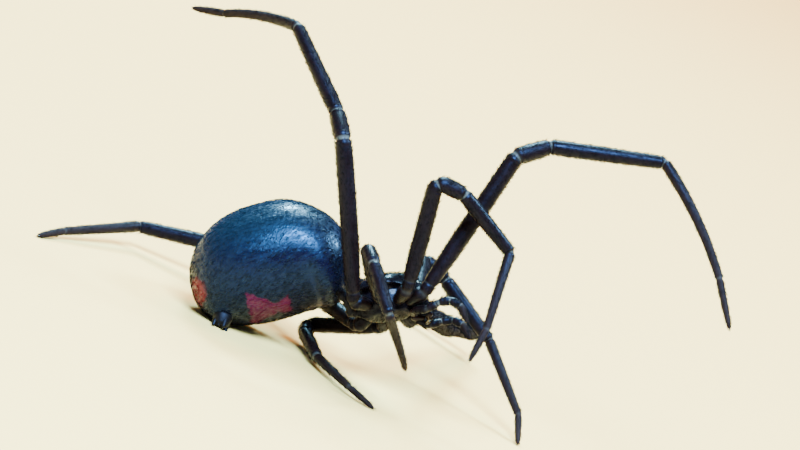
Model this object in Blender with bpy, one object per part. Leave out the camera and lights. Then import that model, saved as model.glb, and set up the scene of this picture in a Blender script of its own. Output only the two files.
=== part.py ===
"""A female black widow spider, life size, as a still display model.

The animal stands on its left legs and on the rear of its abdomen, with its front raised
and its belly turned to the viewer's side. World axes: X along the body with the head at
+X, Y away from the viewer, Z up, with the floor at Z = 0. Sizes are in millimetres and
turned into metres when a mesh is made.
"""

import math

import bmesh
import bpy
from mathutils import Euler, Matrix, Vector

MM = 0.001
GAP = 0.3

# Abdomen
ABDOMEN_CENTRE = Vector((-4.78, 0.91, 3.39))
ABDOMEN_HEADING = 3.0
ABDOMEN_PITCH = 35.2
ABDOMEN_ROLL = -46.5
ABDOMEN_HALF_LENGTH = 3.85
ABDOMEN_HALF_WIDTH = 2.92
ABDOMEN_HALF_HEIGHT = 2.72
ABDOMEN_FULLNESS = 2.3
REAR_SAG = 0.5
FRONT_SAG = 0.4
SHOULDER_RISE = 0.12
FRONT_LOBE = 0.3
FRONT_LOBE_PLACE = 0.66

# Cephalothorax, in its own frame of forward, left and up
THORAX_CENTRE = Vector((0.98, -0.77, 4.06))
THORAX_HEADING = 1.9
THORAX_PITCH = 31.3
THORAX_ROLL = -39.9
CARAPACE_HALF_LENGTH = 1.7
CARAPACE_HALF_WIDTH = 1.44
HEAD_HALF_WIDTH = 0.8
CARAPACE_RIM = 0.5
CARAPACE_TOP = 1.34
HEAD_RISE = 0.2
GROOVE_DEPTH = 0.14
STERNUM_HALF_LENGTH = 1.05
STERNUM_HALF_WIDTH = 0.68
STERNUM_BOTTOM = -0.62

# Eyes: their radius, how high each row is above the rim, and forward and sideways places
EYE_RADIUS = 0.1
FRONT_EYES_RISE = 0.32
REAR_EYES_RISE = 0.68
FRONT_EYES = ((1.66, 0.15), (1.52, 0.42))
REAR_EYES = ((1.36, 0.16), (1.28, 0.46))

# Jaws, fangs and palps: forward, sideways and up places along them, and their radii
JAW_ROUTE = (
    (1.58, 0.19, 0.06), (1.62, 0.19, -0.1), (1.74, 0.19, -0.55), (1.8, 0.18, -0.85), (1.8, 0.17, -0.98),
)
JAW_RADII = (0.17, 0.21, 0.22, 0.19, 0.12)
FANG_ROUTE = ((1.78, 0.2, -0.9), (1.74, 0.12, -1.1), (1.62, 0.06, -1.2))
FANG_RADII = (0.09, 0.07, 0.04)
PALP_ROUTE = (
    (1.36, 0.66, -0.86), (1.75, 0.86, -0.9), (2.3, 1.02, -0.74), (2.85, 1.06, -0.7),
    (3.25, 1.0, -0.95), (3.45, 0.9, -1.4), (3.5, 0.82, -1.85),
)
PALP_RADII = (0.19, 0.22, 0.22, 0.23, 0.22, 0.19, 0.1)

# Pedicel: its places in the frame of each half of the body, and its radii
PEDICEL_FRONT = ((-1.36, 0.0, -0.16), (-1.75, 0.0, -0.12))
PEDICEL_REAR = ((3.2, 0.0, -2.98), (3.06, 0.0, -2.76))
PEDICEL_RADII = (0.24, 0.28, 0.3, 0.28)

# Spinnerets, in the abdomen's frame: their base, the way they point, and for each pair its
# place ahead of the base, its place to the side, its radius and its length
SPINNERET_BASE = Vector((-2.76, 0.0, -2.72))
SPINNERET_RUN = Vector((-0.42, 0.0, -0.91)).normalized()
SPINNERET_BASE_RADII = (0.44, 0.4)
SPINNERET_BASE_DEPTH = 0.28
SPINNERET_PAIRS = ((0.2, 0.2, 0.15, 0.5), (-0.04, 0.12, 0.09, 0.4), (-0.23, 0.2, 0.12, 0.46))

# Legs: where each coxa leaves the sternum and where its femur begins, forward and left
COXA_ROOTS = {1: (1.10, 0.65), 2: (0.60, 0.98), 3: (-0.30, 1.02), 4: (-1.12, 0.78)}
HIPS = {1: (1.70, 1.20), 2: (0.95, 1.75), 3: (-0.45, 1.85), 4: (-1.60, 1.30)}
COXA_UP = -0.16
HIP_UP = -0.2

# Lengths of femur, patella, tibia, metatarsus and tarsus by leg pair
SEGMENTS = ("femur", "patella", "tibia", "metatarsus", "tarsus")
LENGTHS = {
    1: (7.6, 1.8, 5.5, 6.6, 2.4),
    2: (5.4, 1.45, 3.55, 4.3, 1.7),
    3: (4.35, 1.25, 2.9, 3.4, 1.5),
    4: (7.7, 1.7, 5.1, 5.6, 1.9),
}

# Thickness of every leg segment along its length: fraction of length and radius
PROFILES = {
    "coxa": ((0.0, 0.25), (0.4, 0.33), (0.75, 0.38), (1.0, 0.34)),
    "femur": ((0.0, 0.33), (0.1, 0.36), (0.35, 0.42), (0.7, 0.42), (0.92, 0.42), (1.0, 0.39)),
    "patella": ((0.0, 0.39), (0.3, 0.42), (0.7, 0.41), (1.0, 0.36)),
    "tibia": ((0.0, 0.35), (0.15, 0.38), (0.55, 0.36), (0.9, 0.33), (1.0, 0.29)),
    "metatarsus": ((0.0, 0.27), (0.1, 0.28), (0.5, 0.26), (0.9, 0.25), (1.0, 0.25)),
    "tarsus": ((0.0, 0.25), (0.3, 0.25), (0.7, 0.21), (0.92, 0.14), (1.0, 0.1)),
}
THICKNESS = {1: 1.0, 2: 0.95, 3: 0.88, 4: 1.0}
# How far the middle of a segment bows away from its sharpest bend, where that is a right angle
METATARSUS_BOWS = {("right", 1): 0.28, ("right", 4): 0.28}
FEMUR_BOWS = {("right", 4): 0.3}
LEG_SIDES = 10
MITRE_REACH = 0.55
TIP_HEIGHT = 0.1

# Heading and pitch of each segment in degrees; None lets the tarsus come down to the floor
POSES = {
    ("right", 1): ((42, 75), (32, 30), (7, 14), (-45, -30), (-45, -45)),
    ("right", 2): ((-153, 80), (8, -5), (6, -29), (-87, -48), (-103, -56)),
    ("right", 3): ((-114, 33), (-69, -13), (-57, -30), (58, -35), (63, -34)),
    ("right", 4): ((-178, 63), (116, 28), (133, 28), (126, -16), (140, -17)),
    ("left", 1): ((76, -13), (72, -6), (74, -10), (136, -5), (146, None)),
    ("left", 2): ((93, 22), (-5, -21), (-13, -29), (-50, -30), (-74, None)),
    ("left", 3): ((141, -24.5), (-92, -7), (-75, -4.5), (-60, -1.1), (-25, None)),
    ("left", 4): ((123.5, -1), (172, -3), (171, -12), (-127, -7), (-124, None)),
}


def material(name, colour, roughness):
    """A Principled material in one colour."""
    made = bpy.data.materials.new(name)
    made.use_nodes = True
    shader = made.node_tree.nodes["Principled BSDF"]
    shader.inputs["Base Color"].default_value = (*colour, 1.0)
    shader.inputs["Roughness"].default_value = roughness
    shader.inputs["Metallic"].default_value = 0.0
    return made


def turn(heading, pitch, roll):
    """The rotation of a body whose nose points along heading and pitch, rolled about it."""
    angles = (math.radians(roll), math.radians(-pitch), math.radians(heading))
    return Euler(angles, "XYZ").to_matrix()


def direction(heading, pitch):
    """The unit vector of a heading and a pitch in degrees."""
    flat = math.cos(math.radians(pitch))
    across = math.radians(heading)
    return Vector((flat * math.cos(across), flat * math.sin(across), math.sin(math.radians(pitch))))


def smooth_step(low, high, value):
    """0 below low, 1 above high and an even curve between."""
    t = min(1.0, max(0.0, (value - low) / (high - low)))
    return t * t * (3.0 - 2.0 * t)


def loft(rings):
    """A closed bmesh through rings of points, each end closed by a fan round its middle."""
    mesh = bmesh.new()
    loops = [[mesh.verts.new(point) for point in outline] for outline in rings]
    count = len(rings[0])
    for lower, upper in zip(loops, loops[1:]):
        for i in range(count):
            j = (i + 1) % count
            mesh.faces.new((lower[i], lower[j], upper[j], upper[i]))
    for loop, outward in ((loops[0], False), (loops[-1], True)):
        middle = mesh.verts.new(sum((v.co for v in loop), Vector()) / count)
        for i in range(count):
            j = (i + 1) % count
            corners = (loop[i], loop[j], middle)
            mesh.faces.new(corners if outward else corners[::-1])
    bmesh.ops.recalc_face_normals(mesh, faces=mesh.faces)
    return mesh


def stand_on_floor(mesh):
    """Cuts off what lies below the floor and closes the cut with a flat."""
    if min(v.co.z for v in mesh.verts) >= 0.0:
        return
    everything = mesh.verts[:] + mesh.edges[:] + mesh.faces[:]
    cut = bmesh.ops.bisect_plane(
        mesh, geom=everything, dist=1e-5, plane_co=(0, 0, 0), plane_no=(0, 0, 1), clear_inner=True
    )
    edges = [item for item in cut["geom_cut"] if isinstance(item, bmesh.types.BMEdge)]
    bmesh.ops.holes_fill(mesh, edges=edges, sides=0)


def finish(name, mesh, look, sharp_angle=50.0):
    """Turns a bmesh in millimetres into an object in metres that stands on the floor."""
    stand_on_floor(mesh)
    bmesh.ops.triangulate(mesh, faces=mesh.faces)
    bmesh.ops.recalc_face_normals(mesh, faces=mesh.faces)
    bmesh.ops.scale(mesh, vec=(MM, MM, MM), verts=mesh.verts)
    data = bpy.data.meshes.new(name)
    mesh.to_mesh(data)
    mesh.free()
    data.materials.append(look)
    data.shade_smooth()
    data.set_sharp_from_angle(angle=math.radians(sharp_angle))
    body = bpy.data.objects.new(name, data)
    bpy.context.scene.collection.objects.link(body)
    return body


def join_pieces(name, pieces, look):
    """One closed body from overlapping closed meshes, by a Boolean union."""
    scraps = bpy.data.collections.new(name + "_pieces")
    bpy.context.scene.collection.children.link(scraps)
    for i, mesh in enumerate(pieces[1:]):
        data = bpy.data.meshes.new(f"{name}_piece_{i}")
        bmesh.ops.triangulate(mesh, faces=mesh.faces)
        mesh.to_mesh(data)
        mesh.free()
        scraps.objects.link(bpy.data.objects.new(data.name, data))
    data = bpy.data.meshes.new(name)
    bmesh.ops.triangulate(pieces[0], faces=pieces[0].faces)
    pieces[0].to_mesh(data)
    pieces[0].free()
    core = bpy.data.objects.new(name + "_core", data)
    bpy.context.scene.collection.objects.link(core)
    union = core.modifiers.new("Union", "BOOLEAN")
    union.operation = "UNION"
    union.solver = "EXACT"
    union.operand_type = "COLLECTION"
    union.collection = scraps
    bpy.context.view_layer.update()
    evaluated = core.evaluated_get(bpy.context.evaluated_depsgraph_get())
    joined = bmesh.new()
    joined.from_mesh(evaluated.to_mesh())
    evaluated.to_mesh_clear()
    for scrap in list(scraps.objects) + [core]:
        bpy.data.objects.remove(scrap)
    bpy.data.collections.remove(scraps)
    bmesh.ops.remove_doubles(joined, verts=joined.verts, dist=1e-4)
    keep_largest(joined)
    return finish(name, joined, look)


def keep_largest(mesh):
    """Leaves only the closed surface with the most faces."""
    left = set(mesh.faces)
    shells = []
    while left:
        queue = [left.pop()]
        shell = []
        while queue:
            face = queue.pop()
            shell.append(face)
            for edge in face.edges:
                for other in edge.link_faces:
                    if other in left:
                        left.remove(other)
                        queue.append(other)
        shells.append(shell)
    shells.sort(key=len)
    for shell in shells[:-1]:
        bmesh.ops.delete(mesh, geom=shell, context="FACES")
    loose = [v for v in mesh.verts if not v.link_faces]
    bmesh.ops.delete(mesh, geom=loose, context="VERTS")


def ring(centre, across, upward, width, height, sides):
    """Points of an ellipse in the plane of two directions."""
    steps = [2.0 * math.pi * i / sides for i in range(sides)]
    return [centre + across * width * math.cos(a) + upward * height * math.sin(a) for a in steps]


def mitred(start, end, start_face, end_face, profile, scale, bow=Vector(), sides=LEG_SIDES):
    """A round bar between two points whose ends follow two faces, half a gap short of them.

    Each face is a unit vector along the bar's run, or None for a free end. Every line of
    the bar runs from where it meets the first face to where it meets the second, and its
    middle stands off by the bow.
    """
    axis = (end - start).normalized()
    length = (end - start).length
    spin = axis.to_track_quat("Z", "Y")
    spokes = [spin @ Vector((math.cos(a), math.sin(a), 0.0))
              for a in (2.0 * math.pi * i / sides for i in range(sides))]
    first_radius = profile[0][1] * scale
    last_radius = profile[-1][1] * scale
    lines = []
    for spoke in spokes:
        begin = 0.0
        stop = length
        if start_face is not None:
            slide = (0.5 * GAP - first_radius * spoke.dot(start_face)) / axis.dot(start_face)
            begin = max(slide, -MITRE_REACH * first_radius)
        if end_face is not None:
            slide = (0.5 * GAP + last_radius * spoke.dot(end_face)) / axis.dot(end_face)
            stop = length - max(slide, -MITRE_REACH * last_radius)
        lines.append((begin, stop))
    rings = []
    for fraction, radius in profile:
        middle = start + bow * 4.0 * fraction * (1.0 - fraction)
        rings.append([
            middle + spoke * radius * scale + axis * (begin + (stop - begin) * fraction)
            for spoke, (begin, stop) in zip(spokes, lines)
        ])
    return loft(rings)


def bar(points, radii, sides=10):
    """A closed round bar through points, its rings square to its run."""
    rings = []
    for i, (point, radius) in enumerate(zip(points, radii)):
        before = points[max(0, i - 1)]
        after = points[min(len(points) - 1, i + 1)]
        run = (after - before).normalized()
        spin = run.to_track_quat("Z", "Y")
        rings.append(ring(point, spin @ Vector((1, 0, 0)), spin @ Vector((0, 1, 0)), radius, radius, sides))
    return loft(rings)


def abdomen_section(fraction):
    """Half width, half height and middle height of the abdomen at -1 rear to 1 front."""
    full = (1.0 - abs(fraction) ** ABDOMEN_FULLNESS) ** (1.0 / ABDOMEN_FULLNESS)
    sag = -fraction * fraction * (REAR_SAG if fraction < 0.0 else FRONT_SAG)
    shoulder = SHOULDER_RISE * math.exp(-((fraction - 0.35) / 0.3) ** 2)
    lobe = 0.5 * FRONT_LOBE * math.exp(-((fraction - FRONT_LOBE_PLACE) / 0.2) ** 2)
    return ABDOMEN_HALF_WIDTH * full, ABDOMEN_HALF_HEIGHT * full + lobe, sag + shoulder - lobe


def make_abdomen(look):
    """The egg-shaped abdomen with its small flat on the floor."""
    frame = turn(ABDOMEN_HEADING, ABDOMEN_PITCH, ABDOMEN_ROLL)
    along = [math.sin(math.radians(angle)) for angle in range(-82, 83, 8)]
    forward = frame @ Vector((1, 0, 0))
    left = frame @ Vector((0, 1, 0))
    up = frame @ Vector((0, 0, 1))
    rings = []
    for fraction in along:
        width, height, middle = abdomen_section(fraction)
        centre = ABDOMEN_CENTRE + forward * fraction * ABDOMEN_HALF_LENGTH + up * middle
        rings.append(ring(centre, left, up, width, height, 32))
    return finish("abdomen", loft(rings), look)


def make_spinnerets(look):
    """The three pairs of spinnerets on their low base, below the rear of the abdomen."""
    frame = turn(ABDOMEN_HEADING, ABDOMEN_PITCH, ABDOMEN_ROLL)

    def place(point):
        return ABDOMEN_CENTRE + frame @ point

    low = SPINNERET_BASE + SPINNERET_RUN * SPINNERET_BASE_DEPTH
    pieces = [bar([place(SPINNERET_BASE), place(low)], SPINNERET_BASE_RADII, 16)]
    for ahead, aside, radius, length in SPINNERET_PAIRS:
        for side in (-1, 1):
            root = SPINNERET_BASE + Vector((ahead, side * aside, -ahead * 0.45)) + SPINNERET_RUN * 0.1
            tip = root + (SPINNERET_RUN + Vector((ahead * 0.3, side * 0.12, 0.0))) * length
            knee = root.lerp(tip, 0.75)
            radii = (radius, radius * 0.85, radius * 0.5)
            pieces.append(bar([place(root), place(knee), place(tip)], radii, 8))
    return join_pieces("spinnerets", pieces, look)


def carapace_half_width(forward):
    """Half the carapace's greatest width at a place along it: broad behind, narrow at the head."""
    narrowing = smooth_step(0.05, 1.35, forward)
    return CARAPACE_HALF_WIDTH + (HEAD_HALF_WIDTH - CARAPACE_HALF_WIDTH) * narrowing


def make_cephalothorax(look):
    """The carapace over the sternum, with eight eyes on the head."""
    frame = turn(THORAX_HEADING, THORAX_PITCH, THORAX_ROLL)
    sides = 32
    steps = [2.0 * math.pi * i / sides for i in range(sides)]
    levels = (
        (STERNUM_BOTTOM, 0.55, 0.0),
        (STERNUM_BOTTOM + 0.08, 0.85, 0.0),
        (STERNUM_BOTTOM + 0.25, 1.0, 0.0),
        (CARAPACE_RIM - 0.16, 1.0, 0.0),
        (CARAPACE_RIM, 0.9, 1.0),
        (CARAPACE_RIM + 0.1, 1.0, 1.0),
        (CARAPACE_RIM + 0.24, 0.985, 1.0),
        (CARAPACE_RIM + 0.46, 0.87, 1.0),
        (CARAPACE_RIM + 0.62, 0.68, 1.0),
        (CARAPACE_RIM + 0.7, 0.46, 1.0),
        (CARAPACE_TOP, 0.22, 1.0),
    )
    rings = []
    for height, size, upper in levels:
        points = []
        for angle in steps:
            if upper:
                forward = CARAPACE_HALF_LENGTH * size * math.cos(angle)
                bulge = math.copysign(abs(math.sin(angle)) ** 0.85, math.sin(angle))
                left = carapace_half_width(forward) * size * bulge
            else:
                forward = STERNUM_HALF_LENGTH * size * math.cos(angle)
                left = STERNUM_HALF_WIDTH * size * math.sin(angle)
            above = height
            if height > CARAPACE_RIM + 0.15:
                share = (height - CARAPACE_RIM) / (CARAPACE_TOP - CARAPACE_RIM)
                above += HEAD_RISE * share * smooth_step(0.1, 1.0, forward)
                above -= GROOVE_DEPTH * math.exp(-((forward + 0.35) / 0.4) ** 2 - (left / 0.3) ** 2)
            points.append(THORAX_CENTRE + frame @ Vector((forward, left, above)))
        rings.append(points)
    pieces = [loft(rings)]
    for row, up_from_rim in ((FRONT_EYES, FRONT_EYES_RISE), (REAR_EYES, REAR_EYES_RISE)):
        for forward, aside in row:
            for side in (-1, 1):
                place = Vector((forward, side * aside, CARAPACE_RIM + up_from_rim))
                eye = bmesh.new()
                bmesh.ops.create_uvsphere(
                    eye, u_segments=10, v_segments=6, radius=EYE_RADIUS,
                    matrix=Matrix.Translation(THORAX_CENTRE + frame @ place),
                )
                pieces.append(eye)
    return join_pieces("cephalothorax", pieces, look)


def make_chelicerae(look):
    """The two jaws side by side below the head, each with its fang."""
    frame = turn(THORAX_HEADING, THORAX_PITCH, THORAX_ROLL)

    pieces = []
    for side in (-1, 1):
        for route, radii, sides in ((JAW_ROUTE, JAW_RADII, 12), (FANG_ROUTE, FANG_RADII, 8)):
            points = [THORAX_CENTRE + frame @ Vector((f, side * a, u)) for f, a, u in route]
            pieces.append(bar(points, radii, sides))
    return join_pieces("chelicerae", pieces, look)


def make_palp(side_name, look):
    """One slender palp that reaches forward below the head and bends down."""
    side = -1 if side_name == "right" else 1
    frame = turn(THORAX_HEADING, THORAX_PITCH, THORAX_ROLL)
    points = [THORAX_CENTRE + frame @ Vector((f, side * a, u)) for f, a, u in PALP_ROUTE]
    return finish(f"palp_{side_name}", bar(points, PALP_RADII, 10), look)


def make_pedicel(look):
    """The narrow waist between cephalothorax and abdomen."""
    thorax = turn(THORAX_HEADING, THORAX_PITCH, THORAX_ROLL)
    abdomen = turn(ABDOMEN_HEADING, ABDOMEN_PITCH, ABDOMEN_ROLL)
    points = [THORAX_CENTRE + thorax @ Vector(place) for place in PEDICEL_FRONT]
    points += [ABDOMEN_CENTRE + abdomen @ Vector(place) for place in PEDICEL_REAR]
    return finish("pedicel", bar(points, PEDICEL_RADII, 12), look)


def leg_joints(side_name, pair):
    """The joint places of one leg from its coxa's root to its tip."""
    side = -1 if side_name == "right" else 1
    frame = turn(THORAX_HEADING, THORAX_PITCH, THORAX_ROLL)
    root_forward, root_left = COXA_ROOTS[pair]
    hip_forward, hip_left = HIPS[pair]
    joints = [
        THORAX_CENTRE + frame @ Vector((root_forward, side * root_left, COXA_UP)),
        THORAX_CENTRE + frame @ Vector((hip_forward, side * hip_left, HIP_UP)),
    ]
    for length, (heading, pitch) in zip(LENGTHS[pair], POSES[side_name, pair]):
        if pitch is None:
            pitch = math.degrees(math.asin((TIP_HEIGHT - joints[-1].z) / length))
        joints.append(joints[-1] + direction(heading, pitch) * length)
    return joints


def segment_bow(segment, leg, runs, i):
    """The way and the distance that the middle of a segment stands off its straight run."""
    if segment == "metatarsus":
        return (runs[i - 1] - runs[i] * runs[i - 1].dot(runs[i])) * METATARSUS_BOWS.get(leg, 0.0)
    if segment == "femur":
        return (runs[i] * runs[i + 1].dot(runs[i]) - runs[i + 1]) * FEMUR_BOWS.get(leg, 0.0)
    return Vector()


def make_leg(side_name, pair, look):
    """The coxa and the five segments of one leg, mitred to one another at each joint."""
    joints = leg_joints(side_name, pair)
    runs = [(b - a).normalized() for a, b in zip(joints, joints[1:])]
    faces = [None] + [(a + b).normalized() for a, b in zip(runs, runs[1:])] + [None]
    for i, segment in enumerate(("coxa", *SEGMENTS)):
        bow = segment_bow(segment, (side_name, pair), runs, i)
        ends = (joints[i], joints[i + 1], faces[i], faces[i + 1])
        mesh = mitred(*ends, PROFILES[segment], THICKNESS[pair], bow)
        finish(f"leg_{side_name}_{pair}_{segment}", mesh, look)


def centre_on_floor():
    """Moves the whole animal sideways so that its box is centred on the origin."""
    bodies = [item for item in bpy.context.scene.objects if item.type == "MESH"]
    corners = [vertex.co for body in bodies for vertex in body.data.vertices]
    middle_x = (min(c.x for c in corners) + max(c.x for c in corners)) / 2.0
    middle_y = (min(c.y for c in corners) + max(c.y for c in corners)) / 2.0
    for body in bodies:
        body.data.transform(Matrix.Translation((-middle_x, -middle_y, 0.0)))


def main():
    for item in list(bpy.data.objects):
        bpy.data.objects.remove(item)
    black = material("glossy_black", (0.012, 0.012, 0.015), 0.25)
    leg_black = material("leg_black", (0.014, 0.011, 0.011), 0.32)
    brown_black = material("brown_black", (0.03, 0.018, 0.014), 0.4)
    make_abdomen(black)
    make_spinnerets(brown_black)
    make_pedicel(brown_black)
    make_cephalothorax(black)
    make_chelicerae(brown_black)
    for side_name in ("left", "right"):
        make_palp(side_name, brown_black)
        for pair in (1, 2, 3, 4):
            make_leg(side_name, pair, leg_black)
    centre_on_floor()


main()
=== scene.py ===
"""A female black widow spider, life size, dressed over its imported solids.

The animal is built in millimetres and stored in metres. Its left legs and the rear of its
abdomen rest on the floor, its front is raised and its belly is turned to one side.
"""

import math

import bpy
import numpy as np
from bpy.props import FloatProperty, FloatVectorProperty, IntProperty, PointerProperty
from bpy.types import Operator, Panel, PropertyGroup
from bpy.utils import register_class, unregister_class
from mathutils import Euler, Matrix, Vector
from mathutils.bvhtree import BVHTree


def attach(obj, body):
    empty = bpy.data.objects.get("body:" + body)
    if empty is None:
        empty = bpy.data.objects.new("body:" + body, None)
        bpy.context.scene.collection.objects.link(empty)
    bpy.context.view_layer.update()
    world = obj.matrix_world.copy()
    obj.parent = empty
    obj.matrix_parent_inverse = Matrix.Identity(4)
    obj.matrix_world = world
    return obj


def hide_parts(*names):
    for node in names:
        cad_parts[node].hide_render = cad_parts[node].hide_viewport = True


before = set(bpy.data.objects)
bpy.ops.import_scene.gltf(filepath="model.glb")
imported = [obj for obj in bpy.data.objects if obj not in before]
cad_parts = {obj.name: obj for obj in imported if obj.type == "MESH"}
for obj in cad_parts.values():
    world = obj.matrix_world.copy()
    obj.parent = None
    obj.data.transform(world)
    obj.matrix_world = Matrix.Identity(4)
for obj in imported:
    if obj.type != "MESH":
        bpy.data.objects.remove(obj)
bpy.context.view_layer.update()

bl_info = {
    "name": "Black Widow Spider",
    "version": (1, 0, 0),
    "blender": (4, 5, 0),
    "location": "View3D > Sidebar > Spider",
    "description": "Builds a life-size black widow spider over its packed solids",
    "category": "Add Mesh",
}

MM = 0.001
BODY = "root"
# The middle of the animal's box before it is centred on the floor
MIDDLE = Vector((0.15999, 5.49783, 0.0))

# Abdomen: place, turn in degrees and half sizes
ABDOMEN_CENTRE = Vector((-4.78, 0.91, 3.39)) - MIDDLE
ABDOMEN_TURN = (3.0, 35.2, -46.5)
ABDOMEN_HALF = (3.85, 2.92, 2.72)
ABDOMEN_FULLNESS = 2.3
REAR_SAG = 0.5
FRONT_SAG = 0.4
SHOULDER_RISE = 0.12
SHOULDER_PLACE = 0.35
FRONT_LOBE = 0.3
FRONT_LOBE_PLACE = 0.66
SKIN_INSET = 0.04

# Relief of the abdomen: places forward and aside in its own frame, widths, depths and heights
FURROW_FORWARD = 2.05
FURROW_CURVE = 0.12
FURROW_DEPTH = 0.09
LUNG_FORWARD = 2.6
LUNG_ASIDE = 0.85
LUNG_WIDTH = 0.42
LUNG_HEIGHT = 0.07
DIMPLES_FORWARD = (1.1, -0.35, -1.6)
DIMPLE_ASIDE = 0.62
DIMPLE_DEPTH = 0.07
MOUND_FORWARD = -2.75
MOUND_HEIGHT = 0.2
MOUND_RING_FORWARD = -2.15
MOUND_RING_DEPTH = 0.05

# Marks of the abdomen, in its own frame; the triangles have a slope and a half width at the waist
WAIST_FORWARD = -0.2
HOURGLASS_FORWARD = -0.42
HOURGLASS_LEFT = -0.12
HOURGLASS_HALF_LENGTH = 1.02
REAR_TRIANGLE = (-0.7, 0.5)
FRONT_TRIANGLE = (0.36, 0.42)
REAR_SPOT_PLACE = (-3.5, -0.75, -1.25)
REAR_SPOT_SQUEEZE = (1.0, 0.85, 1.0)

# Spinnerets: place and run of their base, and each pair's place ahead and aside, radius and length
SPINNERET_BASE = (-2.72, 0.0, -2.6)
SPINNERET_RUN = (-0.42, 0.0, -0.91)
SPINNERETS = ((0.19, 0.19, 0.14, 0.5), (-0.04, 0.12, 0.08, 0.38), (-0.22, 0.19, 0.11, 0.46))
BASE_PROFILE = ((0.0, 0.46), (0.3, 0.46), (0.6, 0.42), (1.0, 0.34))
SPINNERET_PROFILE = ((0.0, 1.0), (0.2, 1.03), (0.55, 0.95), (0.6, 0.8), (0.66, 0.86), (0.95, 0.62),
                     (1.0, 0.45))

# The waist's places in the cephalothorax's frame, then in the abdomen's
WAIST_FRONT = ((-1.2, 0.0, -0.18), (-1.45, 0.0, -0.16), (-1.75, 0.0, -0.12))
WAIST_REAR = ((3.2, 0.0, -2.98), (2.9, 0.0, -2.4))

# Cephalothorax, in its own frame of forward, left and up
THORAX_CENTRE = Vector((0.98, -0.77, 4.06)) - MIDDLE
THORAX_TURN = (1.9, 31.3, -39.9)
CARAPACE_HALF_LENGTH = 1.7
CARAPACE_HALF_WIDTH = 1.44
HEAD_HALF_WIDTH = 0.8
CARAPACE_RIM = 0.5
CARAPACE_TOP = 1.34
STERNUM_HALF_LENGTH = 1.05
STERNUM_HALF_WIDTH = 0.68
FOVEA_FORWARD = -0.35
CARAPACE_FURROWS = (0.62, 1.25, 1.85, 2.45)
# The part of the skin's rows, from its upper pole, that make the carapace
CARAPACE_SHARE = 0.52
# The way on from the rim to the middle of the sternum: sizes of both outlines and heights
RIM_SIZES = ((0.0, 1.0), (0.03, 1.012), (0.07, 1.0), (0.11, 0.95), (0.16, 0.86))
STERNUM_SIZES = ((0.16, 1.5), (0.24, 1.42), (0.4, 1.36), (0.52, 1.22), (0.6, 1.06), (0.66, 0.98),
                 (0.72, 0.88), (0.85, 0.45), (1.0, 0.0))
UNDER_HEIGHTS = ((0.0, 0.58), (0.03, 0.53), (0.07, 0.48), (0.11, 0.45), (0.16, 0.43), (0.24, 0.35),
                 (0.4, 0.07), (0.52, -0.28), (0.6, -0.47), (0.66, -0.56), (0.72, -0.62),
                 (0.85, -0.665), (1.0, -0.67))

# Eyes of one side: forward and left places, heights over the rim, and shares of the full radius
EYES = ((1.66, 0.15, 0.32, 1.0), (1.52, 0.42, 0.32, 0.85), (1.36, 0.16, 0.68, 0.92), (1.28, 0.46, 0.68, 0.9))
EYE_DOME = 0.85
EYE_SINK = 0.12
SOCKET_THICKNESS = 0.16

# Mouthparts of the left side, in the cephalothorax's frame
JAW_ROUTE = ((1.5, 0.19, 0.2), (1.6, 0.2, 0.0), (1.68, 0.2, -0.25),
             (1.75, 0.2, -0.55), (1.8, 0.18, -0.82), (1.79, 0.16, -0.98))
JAW_PROFILE = ((0.0, 0.15), (0.15, 0.2), (0.4, 0.215), (0.7, 0.2), (0.9, 0.165), (1.0, 0.11))
MAXILLA_PLACE = (1.28, 0.42, -0.68)
MAXILLA_HALF = (0.36, 0.2, 0.16)
MAXILLA_SPIN = 22.0
LABIUM_PLACE = (1.12, 0.0, -0.62)
LABIUM_HALF = (0.2, 0.21, 0.12)

# Legs, by pair from the front
SIDES = {"left": 1, "right": -1}
COXA_ROOTS = {1: (1.10, 0.65), 2: (0.60, 0.98), 3: (-0.30, 1.02), 4: (-1.12, 0.78)}
HIPS = {1: (1.70, 1.20), 2: (0.95, 1.75), 3: (-0.45, 1.85), 4: (-1.60, 1.30)}
COXA_UP = -0.16
HIP_UP = -0.2
SEGMENTS = ("coxa", "femur", "patella", "tibia", "metatarsus", "tarsus")
LENGTHS = {
    1: (7.6, 1.8, 5.5, 6.6, 2.4),
    2: (5.4, 1.45, 3.55, 4.3, 1.7),
    3: (4.35, 1.25, 2.9, 3.4, 1.5),
    4: (7.7, 1.7, 5.1, 5.6, 1.9),
}
# Radius of the skin along each segment: fraction of length and radius
PROFILES = {
    "coxa": ((0.0, 0.26), (0.35, 0.33), (0.75, 0.37), (1.0, 0.33)),
    "femur": ((0.0, 0.3), (0.06, 0.33), (0.15, 0.36), (0.35, 0.405), (0.7, 0.405), (0.92, 0.4),
              (1.0, 0.36)),
    "patella": ((0.0, 0.37), (0.3, 0.405), (0.7, 0.395), (1.0, 0.345)),
    "tibia": ((0.0, 0.34), (0.15, 0.365), (0.55, 0.345), (0.9, 0.315), (1.0, 0.275)),
    "metatarsus": ((0.0, 0.255), (0.08, 0.26), (0.5, 0.225), (0.9, 0.195), (1.0, 0.185)),
    "tarsus": ((0.0, 0.175), (0.3, 0.17), (0.7, 0.15), (0.92, 0.115), (1.0, 0.08)),
}
THICKNESS = {1: 1.0, 2: 0.95, 3: 0.88, 4: 1.0}
ROOT_SINK = 0.35
# How far the middle of a segment bows away from its sharpest bend, where that is a right angle
METATARSUS_BOWS = {("right", 1): 0.28, ("right", 4): 0.28}
FEMUR_BOWS = {("right", 4): 0.3}
TIP_HEIGHT = 0.1
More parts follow.
